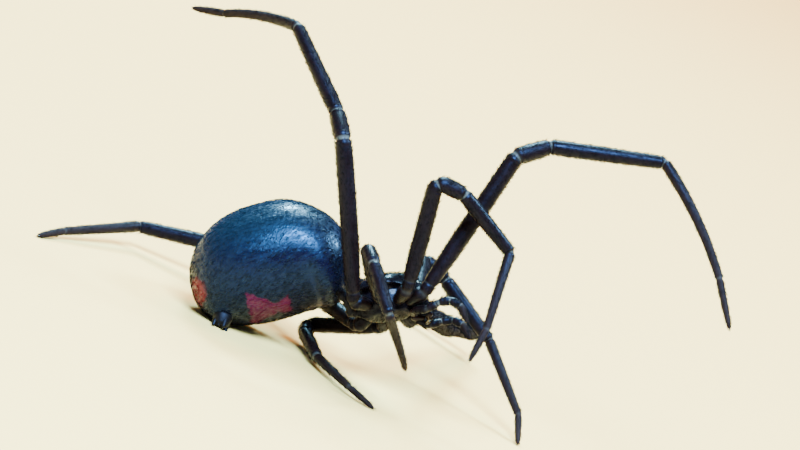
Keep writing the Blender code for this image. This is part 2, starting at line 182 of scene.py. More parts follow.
# Headings and pitches of the segments after the coxa; the last one without a pitch meets the floor
POSES = {
    ("right", 1): ((42, 75), (32, 30), (7, 14), (-45, -30), (-45, -45)),
    ("right", 2): ((-153, 80), (8, -5), (6, -29), (-87, -48), (-103, -56)),
    ("right", 3): ((-114, 33), (-69, -13), (-57, -30), (58, -35), (63, -34)),
    ("right", 4): ((-178, 63), (116, 28), (133, 28), (126, -16), (140, -17)),
    ("left", 1): ((76, -13), (72, -6), (74, -10), (136, -5), (146, None)),
    ("left", 2): ((93, 22), (-5, -21), (-13, -29), (-50, -30), (-74, None)),
    ("left", 3): ((141, -24.5), (-92, -7), (-75, -4.5), (-60, -1.1), (-25, None)),
    ("left", 4): ((123.5, -1), (172, -3), (171, -12), (-127, -7), (-124, None)),
}
LEGS = [(side_name, pair) for side_name in SIDES for pair in LENGTHS]
# Claws of one leg: place aside, length and radius
CLAWS = ((-0.03, 0.16, 0.02), (0.03, 0.16, 0.02), (0.0, 0.09, 0.015))
CLAW_TURN = 1.3
CLAW_DIP = 0.55
CLAW_SPREAD = 1.5
CLAW_HEIGHT = 0.004

# Palps
PALP_ROUTE = ((1.2, 0.5, -0.7), (1.75, 0.86, -0.9), (2.3, 1.02, -0.74), (2.85, 1.06, -0.7),
              (3.3, 0.98, -1.05), (3.5, 0.82, -1.85))
PALP_SEGMENTS = ("coxa", "femur", "patella", "tibia", "tarsus")
PALP_PROFILES = {
    "coxa": ((0.0, 0.19), (0.6, 0.21), (1.0, 0.19)),
    "femur": ((0.0, 0.18), (0.5, 0.2), (1.0, 0.185)),
    "patella": ((0.0, 0.18), (0.5, 0.2), (1.0, 0.18)),
    "tibia": ((0.0, 0.18), (0.6, 0.205), (1.0, 0.18)),
    "tarsus": ((0.0, 0.17), (0.3, 0.19), (0.8, 0.12), (1.0, 0.07)),
}

# Joint folds along a limb, and the steps between its rows of points
FOLD_WIDTH = 0.075
FOLD_DEPTH = 0.17
LIP_AWAY = 0.17
LIP_HEIGHT = 0.05
TROCHANTER_PLACE = 0.46
TROCHANTER_DEPTH = 0.14
BEND_SHARE = 1.12
BEND_STEP = 7.0
ROW_STEP = 0.16
FOLD_STEP = 0.04
FOLD_REACH = 0.34

# Setae: depth of the root, the bend's share of the length and of the radius, the least height over
# the floor, and the radius of a hair's patch on its map
SETA_ROOT = 0.02
SETA_BEND = 0.55
SETA_WAIST = 0.72
SETA_FLOOR = 0.02
SETA_PATCH = 0.0015
# Least and greatest shares of the full length and radius
SETA_LENGTHS = (0.55, 1.15)
SETA_RADII = (0.8, 1.2)

# Camera: its own right, up and back, its target and its distance in millimetres
VIEW_RIGHT = Vector((0.9168, 0.0, 0.3993))
VIEW_UP = Vector((-0.3905, 0.2081, 0.8967))
VIEW_BACK = Vector((-0.0831, -0.9781, 0.1908))
VIEW_TARGET = Vector((0.0, 0.0, 7.6)) - MIDDLE
VIEW_DISTANCE = 300.0
SENSOR = 36.0
IMAGE_WIDTH = 800.0
PIXELS_PER_MM = 21.5
FRAME_WIDTH = IMAGE_WIDTH / PIXELS_PER_MM

# Soft lights: the way to each from the animal, its distance, size, power and colour
LIGHTS = {
    "back_softbox": (Vector((-0.2, 0.7, 0.7)), 200.0, (60.0, 40.0), 1.4, (0.42, 0.9, 1.0)),
    "top_softbox": (VIEW_RIGHT * 0.25 + VIEW_UP * 0.6 + VIEW_BACK * 0.72, 200.0, (100.0, 70.0), 3.0,
                    (0.55, 0.95, 1.0)),
    "side_softbox": (Vector((0.64, 0.16, 0.75)), 200.0, (50.0, 50.0), 1.1, (0.5, 0.92, 1.0)),
    "floor_glow": (Vector((0.0, 0.6, 0.9)), 300.0, (300.0, 300.0), 3.6, (1.0, 0.5, 0.12)),
}
AIR_COLOUR = (0.42, 0.74, 1.0, 1.0)
AIR_STRENGTH = 0.2
FLOOR_SIZE = 6.0


class SpiderSizes(PropertyGroup):
    """Sizes of the animal's finer parts."""
    leg_sides: IntProperty(
        name="Leg Sides", description="Points round each leg", default=28, min=8, max=64)
    eye_radius: FloatProperty(
        name="Eye Radius", description="Radius of the larger eyes", default=0.0001,
        unit="LENGTH", subtype="DISTANCE")
    leg_seta: FloatProperty(
        name="Leg Seta", description="Length of the hairs on the legs", default=0.00022,
        unit="LENGTH", subtype="DISTANCE")
    body_seta: FloatProperty(
        name="Body Seta", description="Length of the hairs on the body", default=0.00026,
        unit="LENGTH", subtype="DISTANCE")
    seta_radius: FloatProperty(
        name="Seta Radius", description="Radius of a hair at its root", default=0.000009,
        unit="LENGTH", subtype="DISTANCE")
    leg_setae: IntProperty(
        name="Leg Setae", description="Hairs on each leg", default=5200, min=0)
    abdomen_setae: IntProperty(
        name="Abdomen Setae", description="Hairs on the abdomen", default=19000, min=0)
    thorax_setae: IntProperty(
        name="Thorax Setae", description="Hairs on the cephalothorax", default=1800, min=0)


class SpiderColours(PropertyGroup):
    """Colours of the animal and its floor."""
    cuticle: FloatVectorProperty(
        name="Cuticle", description="Blue black of the abdomen", default=(0.0028, 0.0018, 0.0125),
        subtype="COLOR", min=0.0, max=1.0)
    carapace: FloatVectorProperty(
        name="Carapace", description="Black of the cephalothorax", default=(0.003, 0.002, 0.0045),
        subtype="COLOR", min=0.0, max=1.0)
    # Blue of the upper abdomen: a painted sheen of the cool lights, not the cuticle's own colour
    painted_sheen_blue: FloatVectorProperty(
        name="Painted Sheen Blue", description="Painted blue sheen on the upper abdomen", default=(0.003, 0.0085, 0.022),
        subtype="COLOR", min=0.0, max=1.0)
    leg: FloatVectorProperty(
        name="Leg", description="Black of the legs", default=(0.004, 0.0014, 0.0019),
        subtype="COLOR", min=0.0, max=1.0)
    leg_end: FloatVectorProperty(
        name="Leg End", description="Brown of the last leg segments", default=(0.012, 0.0055, 0.0035),
        subtype="COLOR", min=0.0, max=1.0)
    membrane: FloatVectorProperty(
        name="Membrane", description="Pale skin in the leg joints", default=(0.045, 0.045, 0.055),
        subtype="COLOR", min=0.0, max=1.0)
    hourglass: FloatVectorProperty(
        name="Hourglass", description="Crimson of the belly mark", default=(0.066, 0.002, 0.026),
        subtype="COLOR", min=0.0, max=1.0)
    rear_spot: FloatVectorProperty(
        name="Rear Spot", description="Orange red of the rear mark", default=(0.105, 0.004, 0.008),
        subtype="COLOR", min=0.0, max=1.0)
    seta: FloatVectorProperty(
        name="Seta", description="Colour of the hairs", default=(0.004, 0.004, 0.006),
        subtype="COLOR", min=0.0, max=1.0)
    floor: FloatVectorProperty(
        name="Floor", description="Colour of the floor", default=(0.76, 0.46, 0.18),
        subtype="COLOR", min=0.0, max=1.0)


def sizes():
    return bpy.context.scene.spider_sizes


def colours():
    return bpy.context.scene.spider_colours


# Shared geometry

def turned(angles):
    """The rotation of a body with a heading, pitch and roll in degrees."""
    heading, pitch, roll = (math.radians(angle) for angle in angles)
    return Euler((roll, -pitch, heading), "XYZ")


ABDOMEN_FRAME = turned(ABDOMEN_TURN).to_matrix()
THORAX_FRAME = turned(THORAX_TURN).to_matrix()


def direction(heading, pitch):
    """The unit vector of a heading and a pitch in degrees."""
    flat = math.cos(math.radians(pitch))
    across = math.radians(heading)
    return Vector((flat * math.cos(across), flat * math.sin(across), math.sin(math.radians(pitch))))


def smooth_step(low, high, value):
    """0 below low, 1 above high and an even curve between."""
    t = np.clip((np.asarray(value, float) - low) / (high - low), 0.0, 1.0)
    return t * t * (3.0 - 2.0 * t)


def bell(value, centre, width):
    """A smooth bump of height 1 at centre."""
    return np.exp(-((np.asarray(value, float) - centre) / width) ** 2)


def profile_at(profile, share):
    """The value of a profile at a share of its length."""
    return np.interp(share, *zip(*profile))


def out_of(points, centre, turn):
    """Points in a body's own frame, turned and moved to the animal's."""
    return points @ np.array(turn).T + np.array(centre)


def from_abdomen(points):
    return out_of(np.array(points), ABDOMEN_CENTRE, ABDOMEN_FRAME)


def from_thorax(points):
    return out_of(np.array(points), THORAX_CENTRE, THORAX_FRAME)


def between(points, steps):
    """Places on straight runs between points, where a whole step is a point."""
    points = np.array(points)
    return np.stack([np.interp(steps, range(len(points)), points[:, axis]) for axis in range(3)], 1)


def unit(vectors):
    return vectors / np.linalg.norm(vectors, axis=1)[:, None].clip(1e-9)


def deselect():
    if bpy.context.object and bpy.context.object.mode != "OBJECT":
        bpy.ops.object.mode_set(mode="OBJECT")
    bpy.ops.object.select_all(action="DESELECT")


def pick(piece):
    """Selects one piece alone and makes it active."""
    deselect()
    piece.select_set(True)
    bpy.context.view_layer.objects.active = piece


def read(items, name, width, kind=float):
    """The values of a named property, with a row for each item."""
    values = np.empty(len(items) * width, kind)
    items.foreach_get(name, values)
    return values.reshape(-1, width)


def coordinates(piece):
    return read(piece.data.vertices, "co", 3)


def lay(piece, places):
    """Gives a piece's points their places, from millimetres to metres."""
    piece.data.vertices.foreach_set("co", (places * MM).ravel())
    piece.data.update()


def lift_to(piece, lowest=0.0):
    """Keeps every point of a piece at or above a height over the floor."""
    places = coordinates(piece) / MM
    places[:, 2] = places[:, 2].clip(lowest)
    lay(piece, places)


def attribute(piece, name, values):
    """Stores a number or a vector at every point of a piece."""
    values = np.asarray(values, float)
    kind = "FLOAT" if values.ndim == 1 else "FLOAT_VECTOR"
    layer = piece.data.attributes.new(name, kind, "POINT")
    layer.data.foreach_set("value" if kind == "FLOAT" else "vector", values.ravel())


def put_in_order(piece):
    """Lists a ball's faces by their points, because Blender makes them in a changing order."""
    loose = piece.data
    unwrap = loose.uv_layers[0].data
    faces = []
    for face in loose.polygons:
        corners = [(loose.loops[index].vertex_index, tuple(unwrap[index].uv))
                   for index in face.loop_indices]
        first = corners.index(min(corners))
        faces.append(corners[first:] + corners[:first])
    faces.sort()
    ordered = bpy.data.meshes.new(piece.name)
    ordered.from_pydata([tuple(vertex.co) for vertex in loose.vertices], [],
                        [[point for point, spot in face] for face in faces])
    layer = ordered.uv_layers.new(name="UVMap")
    layer.data.foreach_set("uv", [value for face in faces for point, spot in face for value in spot])
    piece.data = ordered
    bpy.data.meshes.remove(loose)


def closed_skin(name, segments, rings):
    """A ball with rows of points from pole to pole, and the row and column of each point."""
    deselect()
    bpy.ops.mesh.primitive_uv_sphere_add(segments=segments, ring_count=rings + 1, radius=1.0)
    piece = bpy.context.object
    piece.name = name
    put_in_order(piece)
    piece.data.name = name
    places = coordinates(piece)
    row = np.rint(np.arccos(np.clip(places[:, 2], -1.0, 1.0)) / math.pi * (rings + 1)).astype(int)
    around = np.arctan2(places[:, 1], places[:, 0]) / (2.0 * math.pi) * segments
    column = np.rint(around).astype(int) % segments
    bpy.ops.object.shade_smooth()
    return piece, row, column


def point_out(piece):
    """Turns every face of a piece outwards."""
    pick(piece)
    bpy.ops.object.mode_set(mode="EDIT")
    bpy.ops.mesh.select_all(action="SELECT")
    bpy.ops.mesh.normals_make_consistent(inside=False)
    bpy.ops.object.mode_set(mode="OBJECT")


def smooth(piece):
    """Rounds a piece with one applied level of subdivision."""
    pick(piece)
    rounding = piece.modifiers.new("Rounding", "SUBSURF")
    rounding.levels = 1
    rounding.render_levels = 1
    bpy.ops.object.modifier_apply(modifier=rounding.name)


def joined(name, parts):
    """One piece from several."""
    deselect()
    for part in parts:
        part.select_set(True)
    bpy.context.view_layer.objects.active = parts[0]
    bpy.ops.object.join()
    piece = bpy.context.object
    piece.name = name
    piece.data.name = name
    return piece


def dress(piece, look, slot, *nodes):
    """Gives a piece its finish and its place in the frame."""
    piece.data.materials.clear()
    piece.data.materials.append(look)
    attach(piece, BODY)
    if nodes:
        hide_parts(*nodes)


def tube(name, centres, radii, sides, marks=None, first_cap=0.5, last_cap=0.8):
    """A closed round skin along a route, with the run of the route stored as its lie.

    The rows follow the route without twisting. The caps say how far the poles stand out, in
    radii of the end rows. Marks are named values for each row, and are stored at its points.
    """
    centres = np.asarray(centres, float)
    radii = np.asarray(radii, float)
    count = len(centres)
    runs = np.gradient(centres, axis=0)
    runs /= np.linalg.norm(runs, axis=1)[:, None]
    side = Vector(runs[0]).orthogonal().normalized()
    across = []
    upward = []
    for run in map(Vector, runs):
        side = (side - run * side.dot(run)).normalized()
        across.append(np.array(side))
        upward.append(np.array(run.cross(side)))
    piece, row, column = closed_skin(name, sides, count)
    angles = (2.0 * math.pi * column / sides)[:, None]
    station = np.clip(row - 1, 0, count - 1)
    spoke = np.array(across)[station] * np.cos(angles) + np.array(upward)[station] * np.sin(angles)
    places = centres[station] + spoke * radii[station][:, None]
    places[row == 0] = centres[0] - runs[0] * radii[0] * first_cap
    places[row == count + 1] = centres[-1] + runs[-1] * radii[-1] * last_cap
    lay(piece, places)
    attribute(piece, "lie", runs[station])
    for mark, values in (marks or {}).items():
        attribute(piece, mark, np.asarray(values, float)[station])
    point_out(piece)
    return piece


def stations(length, dense_start, dense_end):
    """Distances along a straight run, close together near the ends that are dense."""
    places = [0.0]
    while places[-1] < length - 1e-6:
        here = places[-1]
        near = (dense_start and here < FOLD_REACH) or (dense_end and here > length - FOLD_REACH - ROW_STEP)
        places.append(min(length, here + (FOLD_STEP if near else ROW_STEP)))
    return places


def bent_route(joints, bend_radii):
    """Points along joined straight runs with rounded bends.

    Gives, for each point, its place, its segment, its fraction along that segment and its
    distance from the nearest inner joint, negative before it.
    """
    runs = [(b - a).normalized() for a, b in zip(joints, joints[1:])]
    lengths = [(b - a).length for a, b in zip(joints, joints[1:])]
    cuts = [0.0]
    for i in range(1, len(joints) - 1):
        angle = runs[i - 1].angle(runs[i], 0.0)
        wanted = bend_radii[i] * math.tan(angle / 2.0)
        cuts.append(min(wanted, 0.45 * min(lengths[i - 1], lengths[i])))
    cuts.append(0.0)
    rows = []
    last = len(runs) - 1
    for i, (run, length) in enumerate(zip(runs, lengths)):
        start = cuts[i]
        stop = length - cuts[i + 1]
        for along in stations(stop - start, i > 0, i < last):
            place = joints[i] + run * (start + along)
            rows.append((place, i, (start + along) / length))
        if i < last and cuts[i + 1] > 1e-4:
            angle = runs[i].angle(runs[i + 1])
            radius = cuts[i + 1] / math.tan(angle / 2.0)
            normal = (runs[i + 1] - runs[i] * runs[i + 1].dot(runs[i])).normalized()
            centre = joints[i] + run * stop + normal * radius
            steps = max(2, int(math.degrees(angle) / BEND_STEP))
            for step in range(1, steps):
                share = step / steps
                turn = angle * share
                place = centre + (runs[i] * math.sin(turn) - normal * math.cos(turn)) * radius
                away = cuts[i + 1] * (2.0 * share - 1.0)
                if away <= 0.0:
                    rows.append((place, i, 1.0 + away / length))
                else:
                    rows.append((place, i + 1, away / lengths[i + 1]))
    places, segments, fractions, gaps = [], [], [], []
    for place, segment, fraction in rows:
        if places and (place - Vector(places[-1])).length < 1e-4:
            continue
        before = fraction * lengths[segment] if segment > 0 else 1e3
        after = (1.0 - fraction) * lengths[segment] if segment < last else 1e3
        places.append(tuple(place))
        segments.append(segment)
        fractions.append(fraction)
        gaps.append(before if before < after else -after)
    return np.array(places), np.array(segments), np.array(fractions), np.array(gaps)


# Materials

WHITE = (1.0, 1.0, 1.0, 1.0)
STEEL_GLOSS = (0.14, 0.38, 1.0, 1.0)
COOL_GLOSS = (0.34, 0.42, 1.0, 1.0)
LEG_GLOSS = (0.2, 0.36, 1.0, 1.0)
SHEEN_TINT = (0.12, 0.22, 1.0, 1.0)
SHEEN_ROUGHNESS = 0.4
BUMP_DEPTH = 0.02
JOINT_BLACK = (0.003, 0.002, 0.002)
JAW_BLACK = (0.006, 0.002, 0.002)
HORN_DARK = (0.012, 0.003, 0.002, 1.0)
HORN_LIGHT = (0.035, 0.008, 0.005, 1.0)
LENS_DARK = (0.012, 0.01, 0.012, 1.0)
# Pale colour of a painted sheen at the rims of the eyes
LENS_PAINTED_SHEEN = (0.09, 0.08, 0.08, 1.0)


def node(tree, kind, **values):
    """A node with its named properties set."""
    made = tree.nodes.new(kind)
    for name, value in values.items():
        setattr(made, name, value)
    return made


def link(tree, source, target):
    tree.links.new(source, target)


def maths(tree, operation, first, second=None, third=None):
    """A Math node on sockets or numbers; gives its output."""
    made = node(tree, "ShaderNodeMath", operation=operation)
    for socket, value in zip(made.inputs, (first, second, third)):
        if value is None:
            continue
        if isinstance(value, (int, float)):
            socket.default_value = value
        else:
            link(tree, value, socket)
    return made.outputs[0]


def mixed(tree, factor, first, second):
    """A colour mixed from two sockets or colours by a factor; gives its output."""
    made = node(tree, "ShaderNodeMix", data_type="RGBA", clamp_factor=True)
    link(tree, factor, made.inputs["Factor"])
    for socket, value in ((made.inputs[6], first), (made.inputs[7], second)):
        if isinstance(value, tuple):
            socket.default_value = value
        else:
            link(tree, value, socket)
    return made.outputs[2]


def stepped(tree, value, low, high, first=0.0, second=1.0):
    """An even curve from first to second as a value goes from low to high."""
    made = node(tree, "ShaderNodeMapRange", interpolation_type="SMOOTHSTEP")
    link(tree, value, made.inputs["Value"])
    for name, number in (("From Min", low), ("From Max", high), ("To Min", first), ("To Max", second)):
        made.inputs[name].default_value = number
    return made.outputs["Result"]


def noise(tree, vector, scale, detail):
    made = node(tree, "ShaderNodeTexNoise")
    made.inputs["Scale"].default_value = scale
    made.inputs["Detail"].default_value = detail
    link(tree, vector, made.inputs["Vector"])
    return made.outputs["Fac"]


def new_group(name, inputs, outputs):
    """An empty shader group with named sockets; gives the group and its two ends."""
    group = bpy.data.node_groups.new(name, "ShaderNodeTree")
    for label, kind, value in inputs:
        socket = group.interface.new_socket(label, in_out="INPUT", socket_type=kind)
        if value is not None:
            socket.default_value = value
    for label, kind in outputs:
        group.interface.new_socket(label, in_out="OUTPUT", socket_type=kind)
    return group, node(group, "NodeGroupInput"), node(group, "NodeGroupOutput")


def relief_group():
    """Cuticle relief: fine grain, shallow pits and a slow mottle, in millimetre scales."""
    name = "Cuticle Relief"
    if name in bpy.data.node_groups:
        return bpy.data.node_groups[name]
    inputs = (("Vector", "NodeSocketVector", None), ("Grain", "NodeSocketFloat", 0.08),
              ("Pits", "NodeSocketFloat", 0.16), ("Pit Depth", "NodeSocketFloat", 0.5))
    outputs = (("Height", "NodeSocketFloat"), ("Mottle", "NodeSocketFloat"))
    group, start, end = new_group(name, inputs, outputs)
    scaled = node(group, "ShaderNodeVectorMath", operation="SCALE")
    link(group, start.outputs["Vector"], scaled.inputs[0])
    scaled.inputs["Scale"].default_value = 1.0 / MM
    grain = node(group, "ShaderNodeTexNoise")
    link(group, scaled.outputs[0], grain.inputs["Vector"])
    link(group, maths(group, "DIVIDE", 1.0, start.outputs["Grain"]), grain.inputs["Scale"])
    grain.inputs["Detail"].default_value = 3.0
    pits = node(group, "ShaderNodeTexVoronoi", feature="F1")
    link(group, scaled.outputs[0], pits.inputs["Vector"])
    link(group, maths(group, "DIVIDE", 1.0, start.outputs["Pits"]), pits.inputs["Scale"])
    dents = stepped(group, pits.outputs["Distance"], 0.1, 0.42)
    depth = maths(group, "MULTIPLY", dents, start.outputs["Pit Depth"])
    height = maths(group, "ADD", depth, maths(group, "MULTIPLY", grain.outputs["Fac"], 0.5))
    link(group, height, end.inputs["Height"])
    link(group, noise(group, scaled.outputs[0], 1.4, 4.0), end.inputs["Mottle"])
    return group


def abdomen_place(tree, vector, stretch=1.0):
    """A place in the abdomen's own frame in millimetres, drawn together lengthwise by the stretch."""
    own = node(tree, "ShaderNodeMapping", vector_type="TEXTURE")
    own.inputs["Location"].default_value = ABDOMEN_CENTRE * MM
    own.inputs["Rotation"].default_value = turned(ABDOMEN_TURN)
    own.inputs["Scale"].default_value = (MM * stretch, MM, MM)
    link(tree, vector, own.inputs["Vector"])
    return own.outputs[0]


def hourglass_mask(group, forward, left, up, wobble):
    """Two triangles that meet at the waist, the rear one the larger."""
    ahead = maths(group, "SUBTRACT", forward, WAIST_FORWARD)
    rear_width = maths(group, "MULTIPLY_ADD", ahead, *REAR_TRIANGLE)
    front_width = maths(group, "MULTIPLY_ADD", ahead, *FRONT_TRIANGLE)
    width = maths(group, "MAXIMUM", rear_width, front_width)
    aside = maths(group, "ABSOLUTE", maths(group, "SUBTRACT", left, HOURGLASS_LEFT))
    across = maths(group, "SUBTRACT", maths(group, "ADD", width, wobble), aside)
    away = maths(group, "ABSOLUTE", maths(group, "SUBTRACT", forward, HOURGLASS_FORWARD))
    ends = maths(group, "SUBTRACT", HOURGLASS_HALF_LENGTH, away)
    ends = maths(group, "ADD", ends, wobble)
    inside = maths(group, "MINIMUM", across, maths(group, "MULTIPLY", ends, 1.2))
    below = stepped(group, up, -1.7, -1.3, 1.0, 0.0)
    return maths(group, "MULTIPLY", stepped(group, inside, -0.03, 0.12), below)


def rear_spot_mask(group, own, wobble):
    """The spot above the spinnerets."""
    spot = node(group, "ShaderNodeVectorMath", operation="SUBTRACT")
    link(group, own, spot.inputs[0])
    spot.inputs[1].default_value = REAR_SPOT_PLACE
    squeeze = node(group, "ShaderNodeVectorMath", operation="MULTIPLY")
    link(group, spot.outputs[0], squeeze.inputs[0])
    squeeze.inputs[1].default_value = REAR_SPOT_SQUEEZE
    distance = node(group, "ShaderNodeVectorMath", operation="LENGTH")
    link(group, squeeze.outputs[0], distance.inputs[0])
    reach = maths(group, "ADD", distance.outputs["Value"], wobble)
    return stepped(group, reach, 0.45, 0.72, 1.0, 0.0)


def marks_and_painted_sheen_group():
    """Masks of the marks on the abdomen and of the painted sheen on its upper side, from places in its own
    frame in millimetres.
    """
    name = "Abdomen Marks"
    if name in bpy.data.node_groups:
        return bpy.data.node_groups[name]
    inputs = (("Vector", "NodeSocketVector", None),)
    outputs = (("Hourglass", "NodeSocketFloat"), ("Rear Spot", "NodeSocketFloat"),
               ("Upper", "NodeSocketFloat"))
    group, start, end = new_group(name, inputs, outputs)
    own = abdomen_place(group, start.outputs["Vector"])
    parts = node(group, "ShaderNodeSeparateXYZ")
    link(group, own, parts.inputs[0])
    forward, left, up = parts.outputs
    wobble = maths(group, "MULTIPLY", maths(group, "SUBTRACT", noise(group, own, 2.6, 4.0), 0.5), 0.6)
    link(group, hourglass_mask(group, forward, left, up, wobble), end.inputs["Hourglass"])
    link(group, rear_spot_mask(group, own, wobble), end.inputs["Rear Spot"])
    # The upper side, less of it on the left, where the blue sheen of the lights is painted
    level = maths(group, "SUBTRACT", up, maths(group, "MULTIPLY", left, 0.8))
    link(group, stepped(group, level, 0.2, 3.2), end.inputs["Upper"])
    return group


def new_material(name, roughness, specular=0.5, coat=0.0, coat_roughness=0.1, tint=WHITE, sheen=0.0):
    """A material with constant values on its shader; gives it, its tree and its shader."""
    made = bpy.data.materials.new(name)
    made.use_nodes = True
    tree = made.node_tree
    shader = tree.nodes["Principled BSDF"]
    shader.inputs["Roughness"].default_value = roughness
    shader.inputs["Specular IOR Level"].default_value = specular
    shader.inputs["Coat Weight"].default_value = coat
    shader.inputs["Coat Roughness"].default_value = coat_roughness
    shader.inputs["Specular Tint"].default_value = tint
    shader.inputs["Sheen Weight"].default_value = sheen
    shader.inputs["Sheen Roughness"].default_value = SHEEN_ROUGHNESS
    shader.inputs["Sheen Tint"].default_value = SHEEN_TINT
    return made, tree, shader


def add_relief(tree, shader, grain, pits, pit_depth, strength):
    """Bump from the cuticle relief; gives its mottle and the place that it is taken at."""
    coords = node(tree, "ShaderNodeTexCoord")
    relief = node(tree, "ShaderNodeGroup", node_tree=relief_group())
    link(tree, coords.outputs["Object"], relief.inputs["Vector"])
    relief.inputs["Grain"].default_value = grain
    relief.inputs["Pits"].default_value = pits
    relief.inputs["Pit Depth"].default_value = pit_depth
    bump = node(tree, "ShaderNodeBump")
    bump.inputs["Strength"].default_value = strength
    bump.inputs["Distance"].default_value = BUMP_DEPTH * MM
    link(tree, relief.outputs["Height"], bump.inputs["Height"])
    link(tree, bump.outputs["Normal"], shader.inputs["Normal"])
    return relief.outputs["Mottle"], coords.outputs["Object"]


def uneven(tree, mottle, low, high):
    """A value between low and high by the mottle."""
    return stepped(tree, mottle, 0.3, 0.7, low, high)


def shade(colour, strength=1.0):
    return (*(channel * strength for channel in colour), 1.0)


def marks_and_painted_sheen_colour(tree, place, ground):
    """The colour of the abdomen at a place: its ground, the painted blue sheen on its upper side and its
    marks.
    """
    tones = colours()
    marks = node(tree, "ShaderNodeGroup", node_tree=marks_and_painted_sheen_group())
    link(tree, place, marks.inputs["Vector"])
    # Painted blue sheen over the upper side
    with_painted_sheen = mixed(tree, marks.outputs["Upper"], ground, shade(tones.painted_sheen_blue))
    crimson = mixed(tree, marks.outputs["Hourglass"], with_painted_sheen, shade(tones.hourglass))
    return mixed(tree, marks.outputs["Rear Spot"], crimson, shade(tones.rear_spot))


def abdomen_look():
    tones = colours()
    made, tree, shader = new_material("abdomen_cuticle", 0.34, 0.42, tint=STEEL_GLOSS, sheen=0.03)
    mottle, place = add_relief(tree, shader, 0.09, 0.14, 0.8, 0.45)
    streaks = noise(tree, abdomen_place(tree, place, 5.0), 7.0, 2.0)
    link(tree, stepped(tree, streaks, 0.32, 0.68, 0.22, 0.46), shader.inputs["Roughness"])
    ground = mixed(tree, mottle, shade(tones.cuticle, 0.7), shade(tones.cuticle, 1.3))
    link(tree, marks_and_painted_sheen_colour(tree, place, ground), shader.inputs["Base Color"])
    return made


def body_look(name, colour, roughness, coat):
    made, tree, shader = new_material(name, roughness, 0.16, coat, 0.15, COOL_GLOSS)
    mottle = add_relief(tree, shader, 0.07, 0.12, 0.5, 0.35)[0]
    link(tree, uneven(tree, mottle, roughness - 0.06, roughness + 0.1), shader.inputs["Roughness"])
    link(tree, mixed(tree, mottle, shade(colour, 0.7), shade(colour, 1.4)), shader.inputs["Base Color"])
    return made


def leg_look(name="leg_cuticle", low=0.34, high=0.5):
    """Black leg cuticle with brown ends and pale joints, its roughness between the given ones."""
    tones = colours()
    made, tree, shader = new_material(name, low, 0.16, tint=LEG_GLOSS)
    mottle = add_relief(tree, shader, 0.06, 0.1, 0.5, 0.3)[0]
    black = mixed(tree, mottle, shade(tones.leg, 0.7), shade(tones.leg, 1.5))
    ends = node(tree, "ShaderNodeAttribute", attribute_name="leg_end")
    skin = node(tree, "ShaderNodeAttribute", attribute_name="membrane")
    worn = stepped(tree, ends.outputs["Fac"], 0.1, 0.6, 0.3, 0.75)
    rough = maths(tree, "MAXIMUM", uneven(tree, mottle, low, high), worn)
    link(tree, rough, shader.inputs["Roughness"])
    browned = mixed(tree, ends.outputs["Fac"], black, shade(tones.leg_end))
    link(tree, mixed(tree, skin.outputs["Fac"], browned, shade(tones.membrane)), shader.inputs["Base Color"])
    return made


def seta_look(name, on_abdomen):
    tones = colours()
    made, tree, shader = new_material(name, 0.45, 0.1 if on_abdomen else 0.0, tint=STEEL_GLOSS)
    coords = node(tree, "ShaderNodeTexCoord")
    place = coords.outputs["Object"]
    tone = noise(tree, place, 6000.0, 1.0)
    ground = mixed(tree, tone, shade(tones.seta, 0.4), shade(tones.seta, 2.2))
    if on_abdomen:
        # The abdomen's hairs carry its marks and its painted blue sheen
        ground = marks_and_painted_sheen_colour(tree, place, ground)
    link(tree, ground, shader.inputs["Base Color"])
    return made


def eye_look():
    made, tree, shader = new_material("eye_lens", 0.06, 0.6, 1.0, 0.03)
    # Paler where the lens turns away from the view: a painted sheen
    facing = node(tree, "ShaderNodeLayerWeight")
    facing.inputs["Blend"].default_value = 0.35
    painted_rim_sheen = mixed(tree, facing.outputs["Facing"], LENS_DARK, LENS_PAINTED_SHEEN)
    link(tree, painted_rim_sheen, shader.inputs["Base Color"])
    return made


def horn_look():
    made, tree, shader = new_material("fang_horn", 0.18, 0.55, 0.5, 0.08)
    mottle = add_relief(tree, shader, 0.05, 0.09, 0.2, 0.2)[0]
    link(tree, uneven(tree, mottle, 0.14, 0.26), shader.inputs["Roughness"])
    link(tree, mixed(tree, mottle, HORN_DARK, HORN_LIGHT), shader.inputs["Base Color"])
    return made


# Abdomen

def abdomen_relief(own, furrow, below, above):
    """How far the abdomen's skin stands out: its furrow, lung covers, dimples and spinneret mound."""
    forward, left = own[:, 0], own[:, 1]
    aside = np.abs(left)
    swell = -FURROW_DEPTH * bell(forward, furrow, 0.09) * below * smooth_step(1.9, 1.2, aside)
    cover = bell(forward, LUNG_FORWARD, LUNG_WIDTH) * bell(aside, LUNG_ASIDE, LUNG_WIDTH)
    swell += LUNG_HEIGHT * cover * below
    for at in DIMPLES_FORWARD:
        swell -= DIMPLE_DEPTH * bell(forward, at, 0.17) * bell(aside, DIMPLE_ASIDE + 0.1 * at, 0.15) * above
    swell += MOUND_HEIGHT * bell(forward, MOUND_FORWARD, 0.55) * bell(left, 0.0, 0.6) * below
    swell -= MOUND_RING_DEPTH * bell(forward, MOUND_RING_FORWARD, 0.2) * bell(left, 0.0, 0.9) * below
    return swell


